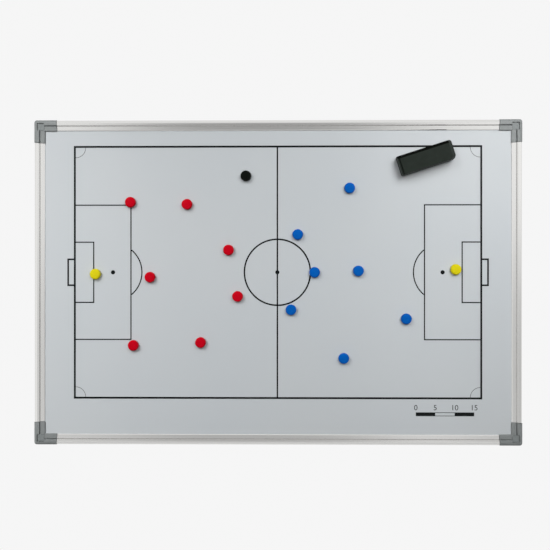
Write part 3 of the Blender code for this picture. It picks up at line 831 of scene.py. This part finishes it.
def screw_mesh():
    """Countersunk screw with a cross recess, its head at the wall side."""
    start = SCREW_SUNK + SCREW_HEAD_EDGE
    profile = [
        (0, SCREW_SUNK),
        (SCREW_HEAD_RADIUS, SCREW_SUNK),
        (SCREW_HEAD_RADIUS, start),
        (SCREW_SHANK_RADIUS, start + SCREW_HEAD_RADIUS - SCREW_SHANK_RADIUS),
        (SCREW_SHANK_RADIUS, SCREW_LENGTH - SCREW_TIP),
        (0, SCREW_LENGTH),
    ]
    body = turned(profile, SCREW_SIDES)
    long_half = CROSS_LENGTH / 2
    half = CROSS_WIDTH / 2
    arm = [(long_half, -half), (long_half, half), (half, half)]
    cross = []
    for quarter in range(4):
        cross += arm
        arm = [(-z, x) for x, z in arm]
    recess = slab(cross, -OVERCUT, CROSS_DEPTH)
    return combined(body, [(recess, placed())])


def corner_rings():
    """The frame section at each station of its way round the corner."""
    section = frame_section(CORNER_PROUD)
    centre = CORNER_ROUND - CORNER_PROUD
    rings = [[(ARM_END - lean_at(u), -v, u) for u, v in section]]
    for step in range(CORNER_ROUND_STEPS + 1):
        angle = math.pi / 2 * step / CORNER_ROUND_STEPS
        ring = []
        for u, v in section:
            radius = max(0.0, centre - u)
            x = max(centre, u) - radius * math.sin(angle)
            z = max(centre, u) - radius * math.cos(angle)
            ring.append((x, -v, z))
        rings.append(ring)
    rings.append([(u, -v, ARM_END - lean_at(u)) for u, v in section])
    return rings


def corner_leg():
    """Tapered leg along X that slides into the rail, with two grooves across its front."""
    low = RAIL_WALL + FIT_GAP
    high = CHANNEL_FLOOR - RAIL_WALL - FIT_GAP
    root = ARM_END - END_WALL
    tip = ARM_END + LEG_LENGTH
    shoulder = tip - LEG_TAPER_LENGTH
    outline = [
        (root, low),
        (shoulder, low),
        (tip, low + LEG_TAPER),
        (tip, high - LEG_TAPER),
        (shoulder, high),
        (root, high),
    ]
    top = low + LEG_DEPTH
    leg = slab(outline, low, top, CORNER_EDGE)
    cuts = []
    for start in (ARM_END + LEG_GROOVE, SCREW_FROM_CORNER + LEG_GROOVE):
        span = (start, start + LEG_GROOVE)
        across = (low - OVERCUT, high + OVERCUT)
        cuts.append((box_slab(span, across, top - LEG_GROOVE_DEPTH, top + OVERCUT), placed()))
    radius = SCREW_SHANK_RADIUS + FIT_GAP
    bottom = SCREW_LENGTH + FIT_GAP
    profile = [(0, -OVERCUT), (radius, -OVERCUT), (radius, bottom), (0, bottom)]
    cuts.append((turned(profile, SCREW_SIDES), placed(SCREW_FROM_CORNER, CHANNEL_FLOOR / 2)))
    return combined(leg, cuts)


def post_mesh(low, high):
    """Plain round post round a corner's well, between two depths."""
    profile = [(0, low), (POST_RADIUS, low), (POST_RADIUS, high), (0, high)]
    return turned(profile, WELL_SIDES)


def corner_pocket():
    """Cutter for the hollow back of the corner, which keeps its post and ribs."""
    outer = CORNER_WALL - CORNER_PROUD
    inner = CHANNEL_FLOOR - CORNER_WALL
    end = ARM_END - END_LEAN - END_WALL
    centre = CORNER_ROUND - CORNER_PROUD
    radius = CORNER_ROUND - CORNER_WALL
    outline = [
        *arc((centre, centre), (radius, radius), 180, 270, CORNER_ROUND_STEPS // 2),
        (end, outer),
        (end, inner),
        (inner, inner),
        (inner, end),
        (outer, end),
    ]
    pocket = slab(outline, -OVERCUT, POCKET_DEPTH)
    kept = [(post_mesh(-2 * OVERCUT, BEAD_FRONT), placed(WELL_INSET, WELL_INSET))]
    low = outer - OVERCUT
    high = inner + OVERCUT
    first = WELL_INSET + POST_RADIUS
    for start in (first, (first + end) / 2):
        span = (start, start + CORNER_RIB)
        kept.append((box_slab(span, (low, high), -2 * OVERCUT, BEAD_FRONT), placed()))
        kept.append((box_slab((low, high), span, -2 * OVERCUT, BEAD_FRONT), placed()))
    return combined(pocket, kept)


def well_mesh():
    """Cutter for the well: a bore for the screw's head and a smaller hole to the wall."""
    profile = [
        (0, -OVERCUT),
        (WALL_SCREW_HOLE_RADIUS, -OVERCUT),
        (WALL_SCREW_HOLE_RADIUS, WELL_FLOOR),
        (WELL_RADIUS, WELL_FLOOR),
        (WELL_RADIUS, BEAD_FRONT + OVERCUT),
        (0, BEAD_FRONT + OVERCUT),
    ]
    return turned(profile, WELL_SIDES)


def corner_mesh():
    """Corner piece of the bottom left, its arms along +X and +Z."""
    at_well = placed(WELL_INSET, WELL_INSET)
    diagonal_mirror = Matrix(((0, 0, 1, 0), (0, 1, 0, 0), (1, 0, 0, 0), (0, 0, 0, 1)))
    leg = corner_leg()
    upright_leg = leg.copy()
    upright_leg.transform(diagonal_mirror)
    upright_leg.flip_normals()
    recess_floor = COVER_FRONT - COVER_PLATE - FIT_GAP
    post = post_mesh(0, recess_floor + COVER_PLATE / 2)
    side = COVER_SIDE + 2 * FIT_GAP + COVER_PRY_GAP
    at_recess = placed(WELL_INSET - COVER_PRY_GAP / 2, WELL_INSET - COVER_PRY_GAP / 2)
    outline = rounded_rectangle(side, side, COVER_CORNER_RADIUS + FIT_GAP, COVER_CORNER_STEPS)
    recess = slab(outline, recess_floor, BEAD_FRONT + OVERCUT)
    shell = loft(corner_rings(), CORNER_EDGE)
    hollow = combined(shell, [(corner_pocket(), placed())])
    added = [(post, at_well), (leg, placed()), (upright_leg, placed())]
    whole = combined(hollow, added, "UNION")
    cuts = [(recess, at_recess), (well_mesh(), at_well)]
    return combined(whole, cuts)


def cover_mesh():
    """Snap-in cover: a square plate with eased edges and a slotted round skirt."""
    outline = rounded_rectangle(
        COVER_SIDE, COVER_SIDE, COVER_CORNER_RADIUS, COVER_CORNER_STEPS
    )
    plate_back = COVER_FRONT - COVER_PLATE
    plate = slab(outline, plate_back, COVER_FRONT, COVER_EDGE)
    outer = WELL_RADIUS - FIT_GAP
    inner = outer - COVER_SKIRT_WALL
    end = plate_back - COVER_SKIRT_LENGTH
    root = plate_back + COVER_PLATE / 2
    profile = [
        (0, root),
        (outer, root),
        (outer, end + COVER_SKIRT_WALL / 2),
        (outer - COVER_SKIRT_WALL / 2, end),
        (inner, end),
        (inner, plate_back),
        (0, plate_back),
    ]
    skirt = turned(profile, WELL_SIDES)
    reach = WELL_RADIUS + OVERCUT
    slot = box_slab(
        (-reach, reach),
        (-COVER_SLOT / 2, COVER_SLOT / 2),
        end - OVERCUT,
        plate_back - FIT_GAP,
    )
    slotted = combined(skirt, [(slot, placed())])
    return combined(plate, [(slotted, placed())], "UNION")


def cap_mesh():
    """Cap of a round magnet: rounded rim, crowned face, open towards the board."""
    face = CAP_FRONT - CAP_CROWN
    rim = (CAP_RADIUS - CAP_DRAFT - CAP_ROUND, face - CAP_ROUND)
    inner = CAP_RADIUS - CAP_WALL
    ceiling = CAP_BACK + FIT_GAP + CAP_DISC
    crown = []
    for step in range(1, CAP_CROWN_STEPS):
        share = 1 - step / CAP_CROWN_STEPS
        radius = rim[0] * share
        crown.append((radius, CAP_FRONT - CAP_CROWN * share * share))
    profile = [
        (0, ceiling),
        (inner, ceiling),
        (inner, CAP_BACK),
        (CAP_RADIUS - CAP_FOOT, CAP_BACK),
        (CAP_RADIUS, CAP_BACK + CAP_FOOT),
        *arc(rim, (CAP_ROUND, CAP_ROUND), 0, 90, CAP_ROUND_STEPS),
        *crown,
        (0, CAP_FRONT),
    ]
    return turned(profile, CAP_SIDES)


def eraser_ring(inward, depth):
    """Ring of the eraser at a depth, drawn in from its outline, with its four corners."""
    slope = max(0.0, depth - ERASER_SHOULDER) / (ERASER_TOP - ERASER_SHOULDER)
    tail = -ERASER_LENGTH / 2 + inward
    nose = ERASER_LENGTH / 2 - inward - NOSE_RUN * slope
    side = ERASER_WIDTH / 2 - inward
    corners = (
        (nose, side, NOSE_UPPER_RADIUS),
        (tail, side, TAIL_RADIUS),
        (tail, -side, TAIL_RADIUS),
        (nose, -side, NOSE_LOWER_RADIUS),
    )
    ring = []
    for quarter, (x, z, outer_radius) in enumerate(corners):
        radius = max(outer_radius - inward, LEAST_RADIUS)
        centre = (x - math.copysign(radius, x), z - math.copysign(radius, z))
        first = quarter * 90
        points = arc(centre, (radius, radius), first, first + 90, ERASER_CORNER_STEPS)
        ring += [(u, -depth, v) for u, v in points]
    return ring


def eraser_loft(stations):
    """Loft through the eraser's rings, each given as (inward, depth)."""
    return loft([eraser_ring(inward, depth) for inward, depth in stations])


def eraser_housing_mesh():
    """Moulded housing: finger groove, sloped nose, cuts in its top, open and ribbed below."""
    band_top = ERASER_RIM + RIM_BAND
    edge = (TOP_IN, ERASER_TOP - TOP_ROUND)
    outer = eraser_loft(
        [
            (0, ERASER_RIM),
            (0, band_top),
            (GRIP_DEPTH, band_top + GRIP_RUN),
            (GRIP_DEPTH, ERASER_SHOULDER - GRIP_RUN),
            (0, ERASER_SHOULDER),
            *arc(edge, (TOP_ROUND, TOP_ROUND), 180, 90, TOP_ROUND_STEPS),
        ]
    )
    wall = GRIP_DEPTH + ERASER_WALL
    ceiling = CUT_FLOOR - ERASER_CEILING
    depths = (ERASER_RIM - OVERCUT, ERASER_SHOULDER, ceiling)
    cavity = eraser_loft([(wall, depth) for depth in depths])
    cuts = [(mesh, placed()) for mesh in (cavity, *eraser_top_cuts())]
    shell = combined(outer, cuts)
    reach = ERASER_WIDTH / 2 - GRIP_DEPTH - ERASER_WALL / 2
    ribs = []
    for index in range(HOUSING_RIB_COUNT):
        x = (index - (HOUSING_RIB_COUNT - 1) / 2) * HOUSING_RIB_STEP
        span = (x - HOUSING_RIB / 2, x + HOUSING_RIB / 2)
        rib = box_slab(span, (-reach, reach), STRIP_TOP + FIT_GAP, ceiling + ERASER_CEILING / 2)
        ribs.append((rib, placed()))
    whole = combined(shell, ribs, "UNION")
    mark_top_cuts(whole)
    return whole


def eraser_top_cuts():
    """Cutters for the rebate along the upper edge of the top and the groove by its tail."""
    above = ERASER_TOP + OVERCUT
    reach_x = ERASER_LENGTH / 2 + OVERCUT
    reach_z = ERASER_WIDTH / 2 + OVERCUT
    rebate = box_slab((-reach_x, reach_x), (REBATE_EDGE, reach_z), CUT_FLOOR, above)
    span = (TAIL_GROOVE_START, TAIL_GROOVE_END)
    groove = box_slab(span, (-reach_z, reach_z), CUT_FLOOR, above)
    return rebate, groove


def mark_top_cuts(mesh):
    """Give the faces of the rebate and of the groove the second material, whose deep black is
    painted shade.
    """
    for face in mesh.polygons:
        x, y, z = face.center
        in_groove = TAIL_GROOVE_START - NEAR < x < TAIL_GROOVE_END + NEAR
        in_cut = in_groove or z > REBATE_EDGE - NEAR
        if in_cut and CUT_FLOOR - NEAR < -y < ERASER_TOP - NEAR:
            face.material_index = 1


def felt_mesh(low, high):
    """Felt pad with matted, slightly uneven sides."""
    inward = GRIP_DEPTH + ERASER_WALL + FIT_GAP
    rise = (high - low) / FELT_RINGS
    stations = [(inward, low + rise * step) for step in range(FELT_RINGS + 1)]
    shape = bmesh_of([eraser_loft(stations)])
    bmesh.ops.triangulate(shape, faces=shape.faces)
    long_edges = [edge for edge in shape.edges if edge.calc_length() > FELT_CELL]
    bmesh.ops.subdivide_edges(shape, edges=long_edges, cuts=FELT_CUTS, use_grid_fill=True)
    shape.normal_update()
    along, across, through = FELT_WAVES
    for vert in shape.verts:
        x, y, z = vert.co
        wave = math.sin(x * along) * math.sin(z * across + y * through)
        vert.co -= vert.normal * FELT_FUZZ * (0.5 + 0.5 * wave)
    return closed_mesh(shape)


def build_panel():
    """Finishes of the bonded panel, whose solids stay as they are."""
    dress_node("writing_sheet", coated_sheet_finish())
    dress_node("panel_core", core_board_finish())
    dress_node("back_sheet", zinc_sheet_finish())


def ink_bar(x_span, z_span, width):
    """Printed straight line between two points, along X or Z."""
    half = width / 2
    x0, x1 = x_span
    z0, z1 = z_span
    top = SHEET_FRONT + INK_RISE
    if x0 == x1:
        return box_slab((x0 - half, x0 + half), (z0, z1), SHEET_FRONT, top)
    return box_slab((x0, x1), (z0 - half, z0 + half), SHEET_FRONT, top)


def three_sides(goal_line, depth, half_height, width):
    """Three sides of a box on a goal line; a negative depth points away from the pitch."""
    side = 1 if goal_line > 0 else -1
    near = goal_line - side * math.copysign(OUTER_LINE / 2, depth)
    far = goal_line - side * depth
    reach = far + math.copysign(width / 2, far - goal_line)
    span = (min(near, reach), max(near, reach))
    low = PITCH_CENTRE_Z - half_height
    high = PITCH_CENTRE_Z + half_height
    return [
        ink_bar(span, (low, low), width),
        ink_bar(span, (high, high), width),
        ink_bar((far, far), (low + width / 2, high - width / 2), width),
    ]


def pitch_mesh():
    """All black lines of the pitch."""
    length = PITCH_HALF_LENGTH
    low = PITCH_CENTRE_Z - PITCH_HALF_HEIGHT
    high = PITCH_CENTRE_Z + PITCH_HALF_HEIGHT
    half = OUTER_LINE / 2
    full = (-length - half, length + half)
    inside = (low + half, high - half)
    lines = [
        ink_bar(full, (low, low), OUTER_LINE),
        ink_bar(full, (high, high), OUTER_LINE),
        ink_bar((-length, -length), inside, OUTER_LINE),
        ink_bar((length, length), inside, OUTER_LINE),
        ink_bar((0, 0), inside, CENTRE_LINE),
    ]
    for goal_line in (-length, length):
        lines += three_sides(goal_line, PENALTY_DEPTH, PENALTY_HALF, BOX_LINE)
        lines += three_sides(goal_line, GOAL_AREA_DEPTH, GOAL_AREA_HALF, BOX_LINE)
        lines += three_sides(goal_line, -GOAL_DEPTH, GOAL_HALF, GOAL_LINE)
    over = INK_RISE + INK_STEP
    lines.append(band((0, PITCH_CENTRE_Z), CIRCLE_RADIUS, CIRCLE_LINE, 0, 360, over))
    lines.append(spot_mesh(0, over + INK_STEP))
    reach = PENALTY_DEPTH - SPOT_FROM_GOAL + BOX_LINE / 2
    opening = math.degrees(math.acos(reach / PENALTY_ARC_RADIUS))
    for side, middle in ((-1, 0), (1, 180)):
        x = side * (length - SPOT_FROM_GOAL)
        centre = (x, PITCH_CENTRE_Z)
        lines.append(spot_mesh(x, over))
        lines.append(
            band(centre, PENALTY_ARC_RADIUS, BOX_LINE, middle - opening, middle + opening, over)
        )
    return joined(lines)


def spot_mesh(x, rise):
    """Round printed spot on the pitch's long axis."""
    top = SHEET_FRONT + rise
    profile = [(0, SHEET_FRONT), (SPOT_RADIUS, SHEET_FRONT), (SPOT_RADIUS, top), (0, top)]
    mesh = turned(profile, SPOT_SIDES)
    mesh.transform(placed(x, PITCH_CENTRE_Z))
    return mesh


def corner_arcs_mesh():
    """Thin quarter arcs in the corners of the pitch."""
    x = PITCH_HALF_LENGTH - OUTER_LINE / 2
    z = PITCH_HALF_HEIGHT - OUTER_LINE / 2
    arcs = []
    for sx, sz, start in ((-1, 1, 270), (1, 1, 180), (1, -1, 90), (-1, -1, 0)):
        centre = (sx * x, PITCH_CENTRE_Z + sz * z)
        radius = CORNER_ARC_RADIUS - OUTER_LINE / 2
        arcs.append(band(centre, radius, CORNER_LINE, start, start + 90, INK_RISE))
    return joined(arcs)


def digit_mesh(text, x, z):
    """Plain number printed flat on the sheet, its foot centred on a point."""
    curve = bpy.data.curves.new("number", "FONT")
    curve.body = text
    curve.size = SCALE_DIGIT
    curve.align_x = "CENTER"
    curve.extrude = INK_RISE / 2
    helper = new_object("number", curve)
    graph = bpy.context.evaluated_depsgraph_get()
    mesh = bpy.data.meshes.new_from_object(helper.evaluated_get(graph))
    bpy.data.objects.remove(helper)
    upright = Matrix.Rotation(math.pi / 2, 4, "X")
    mesh.transform(Matrix.Translation((x, -SHEET_FRONT - INK_RISE / 2, z)) @ upright)
    return mesh


def scale_mesh():
    """Scale of the pitch: filled and open steps under plain numbers."""
    step = SCALE_STEP * 2 * PITCH_HALF_LENGTH / PITCH_REAL_LENGTH
    x, z = SCALE_PLACE
    start = x - step * SCALE_STEPS / 2
    top = z + SCALE_BAR
    marks = []
    for index in range(SCALE_STEPS):
        span = (start + index * step, start + (index + 1) * step)
        if index % 2 == 0:
            marks.append(box_slab(span, (z, top), SHEET_FRONT, SHEET_FRONT + INK_RISE))
        else:
            marks.append(ink_bar(span, (z + SCALE_EDGE / 2,) * 2, SCALE_EDGE))
            marks.append(ink_bar(span, (top - SCALE_EDGE / 2,) * 2, SCALE_EDGE))
    for index in range(SCALE_STEPS + 1):
        number = str(index * SCALE_STEP)
        marks.append(digit_mesh(number, start + index * step, top + SCALE_GAP))
    return joined(marks)


def build_print():
    """Everything that is printed on the writing sheet."""
    ink = pitch_ink_finish()
    add_piece("pitch_lines", pitch_mesh(), placed(), "board", ink)
    add_piece("corner_arcs", corner_arcs_mesh(), placed(), "board", corner_ink_finish())
    add_piece("pitch_scale", scale_mesh(), placed(), "board", ink)


def build_rails():
    """Four rails of one section, in two lengths."""
    long_rail = rail_mesh(HALF_WIDTH)
    short_rail = rail_mesh(HALF_HEIGHT)
    # Each rail finish has a darker copy for the groove's floor: painted shade
    lengthwise, upright = (
        (
            aluminium_finish("anodised_aluminium_" + name, along),
            aluminium_finish("groove_painted_shade_aluminium_" + name, along, GROOVE_PAINTED_SHADE),
        )
        for name, along in (("level", "X"), ("upright", "Z"))
    )
    places = (
        ("rail_bottom", long_rail, 0, -HALF_HEIGHT, 0, lengthwise),
        ("rail_top", long_rail, 0, HALF_HEIGHT, 180, lengthwise),
        ("rail_left", short_rail, -HALF_WIDTH, 0, 90, upright),
        ("rail_right", short_rail, HALF_WIDTH, 0, -90, upright),
    )
    for node, mesh, x, z, turn, (finish, groove) in places:
        place = placed(x, z, math.radians(turn))
        rail = add_piece(
            node + "_extrusion", mesh, place, "board", finish, [node]
        )
        rail.data.materials.append(groove)


def build_corners():
    """Corner pieces with their covers and screws, one mould turned to each corner."""
    corner = corner_mesh()
    cover = cover_mesh()
    screw = screw_mesh()
    grey = moulding_finish("grey_moulding", (0.205, 0.220, 0.220), (0.25, 0.266, 0.264))
    cover_grey = moulding_finish("grey_cover", (0.180, 0.198, 0.198), (0.22, 0.24, 0.24))
    zinc = screw_finish()
    places = (
        ("bottom_left", -1, -1, 0),
        ("top_left", -1, 1, 90),
        ("top_right", 1, 1, 180),
        ("bottom_right", 1, -1, -90),
    )
    for name, side, level, turn in places:
        place = placed(side * HALF_WIDTH, level * HALF_HEIGHT, math.radians(turn))
        node = "corner_" + name
        add_piece(node + "_moulding", corner, place, "board", grey, [node])
        node = "screw_cover_" + name
        at = place @ placed(WELL_INSET, WELL_INSET)
        add_piece(node + "_cap", cover, at, "cover_" + name, cover_grey, [node])
        along = (SCREW_FROM_CORNER, CHANNEL_FLOOR / 2)
        for letter, (x, z) in (("a", along), ("b", along[::-1])):
            node = f"screw_{name}_{letter}"
            at = place @ placed(x, z)
            add_piece(node + "_body", screw, at, "board", zinc, [node])


def build_magnets():
    """Caps of the round magnets where the frame has them, and their discs' finish."""
    cap = cap_mesh()
    ferrite = ferrite_finish()
    finishes = {
        "red": cap_finish("red_cap", (0.60, 0.001, 0.012), (0.50, 0.001, 0.008)),
        "blue": cap_finish("blue_cap", (0.001, 0.115, 0.50), (0.001, 0.095, 0.43)),
        "yellow": cap_finish("yellow_cap", (0.77, 0.67, 0.010), (0.68, 0.59, 0.006)),
        "black": cap_finish("black_cap", (0.001, 0.002, 0.001), (0.003, 0.004, 0.003)),
    }
    for body in BODIES:
        if not body.startswith("magnet_"):
            continue
        colour = body.split("_")[1]
        place = middle_of(*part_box(body + "_cap"))
        add_piece(body + "_shell", cap, place, body, finishes[colour], [body + "_cap"])
        dress_node(body + "_disc", ferrite)
    dress_node("eraser_magnet", ferrite)


def build_eraser():
    """Eraser, turned as it hangs on the board."""
    place = middle_of(*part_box("eraser_magnet"), -ERASER_TURN)
    housing = eraser_housing_mesh()
    finish = dark_housing_finish()
    shell = add_piece(
        "eraser_shell", housing, place, "eraser", finish, ["eraser_housing"]
    )
    # The cuts in the top get deep black painted shade as their second material
    shell.data.materials.append(cut_painted_shade_finish())
    low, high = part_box("eraser_felt")
    felt = felt_mesh(-high.y, -low.y)
    finish = felt_finish()
    pad = add_piece(
        "eraser_felt_pad", felt, place, "eraser", finish, ["eraser_felt"], flats=False
    )


def build_floor():
    """Pale floor far below the board, which fades out before its rim."""
    shape = bmesh.new()
    bmesh.ops.create_circle(shape, cap_ends=True, segments=FLOOR_SIDES, radius=FLOOR_RADIUS)
    bmesh.ops.translate(shape, verts=shape.verts, vec=(0, 0, FLOOR_LEVEL))
    floor = new_object("floor", mesh_of(shape))
    material = bpy.data.materials.new("pale_floor")
    tree = ShaderTree(material)
    place = tree.add("TexCoord").outputs["Object"]
    flat = tree.add("Mapping", Vector=place, Scale=(1, 1, 0)).outputs["Vector"]
    distance = tree.add("VectorMath", Vector=flat)
    distance.operation = "LENGTH"
    tree.fill(
        tree.nodes["Principled BSDF"],
        Base_Color=(*FLOOR_COLOUR, 1),
        Roughness=FLOOR_ROUGHNESS,
        Alpha=tree.ranged(distance.outputs["Value"], *FLOOR_FADE, 1.0, 0.0),
        Emission_Color=(1, 1, 1, 1),
        Emission_Strength=tree.maths("MULTIPLY", tree.maths("MAXIMUM", *tree.rays()), FLOOR_GLOW),
    )
    floor.data.materials.append(material)
    floor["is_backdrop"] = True


def build_world():
    """Pale surround. In reflections it has the darker gap between the two front lamps."""
    world = bpy.data.worlds.new("studio")
    bpy.context.scene.world = world
    tree = ShaderTree(world)
    ranged = tree.ranged
    maths = tree.maths
    direction = tree.add("TexCoord").outputs["Generated"]
    x, y, z = tree.add("SeparateXYZ", Vector=direction).outputs

    # Brightness of the gap and of the fields beside it, from below the horizon to above it
    gap = ranged(z, -0.15, 0.15, 0.50, 0.37)
    left = ranged(z, -0.06, 0.08, 0.78, 1.06)
    right_low = ranged(x, 0.17, 0.23, 0.96, 0.62)
    right_high = ranged(x, 0.14, 0.24, 0.92, 1.14)
    right = ranged(z, -0.06, 0.09, right_low, right_high)

    # The gap between left and right, then the far left, straight up and down, and behind
    level = ranged(x, -0.235, -0.125, left, gap)
    level = ranged(x, 0.06, 0.15, level, right)
    level = ranged(x, -0.8, -0.35, 1.05, level)
    level = ranged(maths("ABSOLUTE", z), 0.12, 0.70, level, 0.98)
    reflected = ranged(y, -0.3, 0.2, level, 0.95)

    camera, shiny = tree.rays()
    soft = maths("MULTIPLY", maths("SUBTRACT", 1.0, shiny), SOFT_LIGHT)
    seen = maths("ADD", maths("MULTIPLY", shiny, reflected), soft)
    not_camera = maths("MULTIPLY", seen, maths("SUBTRACT", 1.0, camera))
    total = maths("ADD", not_camera, maths("MULTIPLY", camera, BACKGROUND))
    tree.fill(tree.nodes["Background"], Color=(1, 1, 1, 1), Strength=total)


def build_lights():
    """Soft lamps, two in front and one behind; the surround stands for their mirror images."""
    for name, place, target, spread, power in LAMPS:
        data = bpy.data.lights.new(name, "AREA")
        data.shape = "RECTANGLE"
        data.size, data.size_y = LAMP_SIZE
        data.spread = spread
        data.energy = power
        lamp = new_object(name, data)
        lamp.location = place
        aim = Vector(target) - Vector(place)
        lamp.rotation_euler = aim.to_track_quat("-Z", "Y").to_euler()
        lamp.visible_camera = False
        lamp.visible_glossy = False


def build_camera():
    """Camera at the photograph's angle."""
    data = bpy.data.cameras.new("camera")
    data.lens = CAMERA_LENS
    camera = new_object("camera", data)
    away = Vector((math.sin(CAMERA_YAW), -math.cos(CAMERA_YAW), 0))
    camera.location = CAMERA_AIM + away * CAMERA_DISTANCE
    camera.rotation_euler = (-away).to_track_quat("-Z", "Y").to_euler()
    bpy.context.scene.camera = camera


def write_sizes():
    """Turn the CAD box and the dressed box into JSON text, which is not kept."""
    low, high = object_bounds()
    for corner in (cad_low, cad_high, low, high):
        json.dumps([round(value, 6) for value in corner])


build_panel()
build_print()
build_rails()
build_corners()
build_magnets()
build_eraser()
build_floor()
build_world()
build_lights()
build_camera()
bpy.context.scene.view_settings.view_transform = "Standard"
write_sizes()
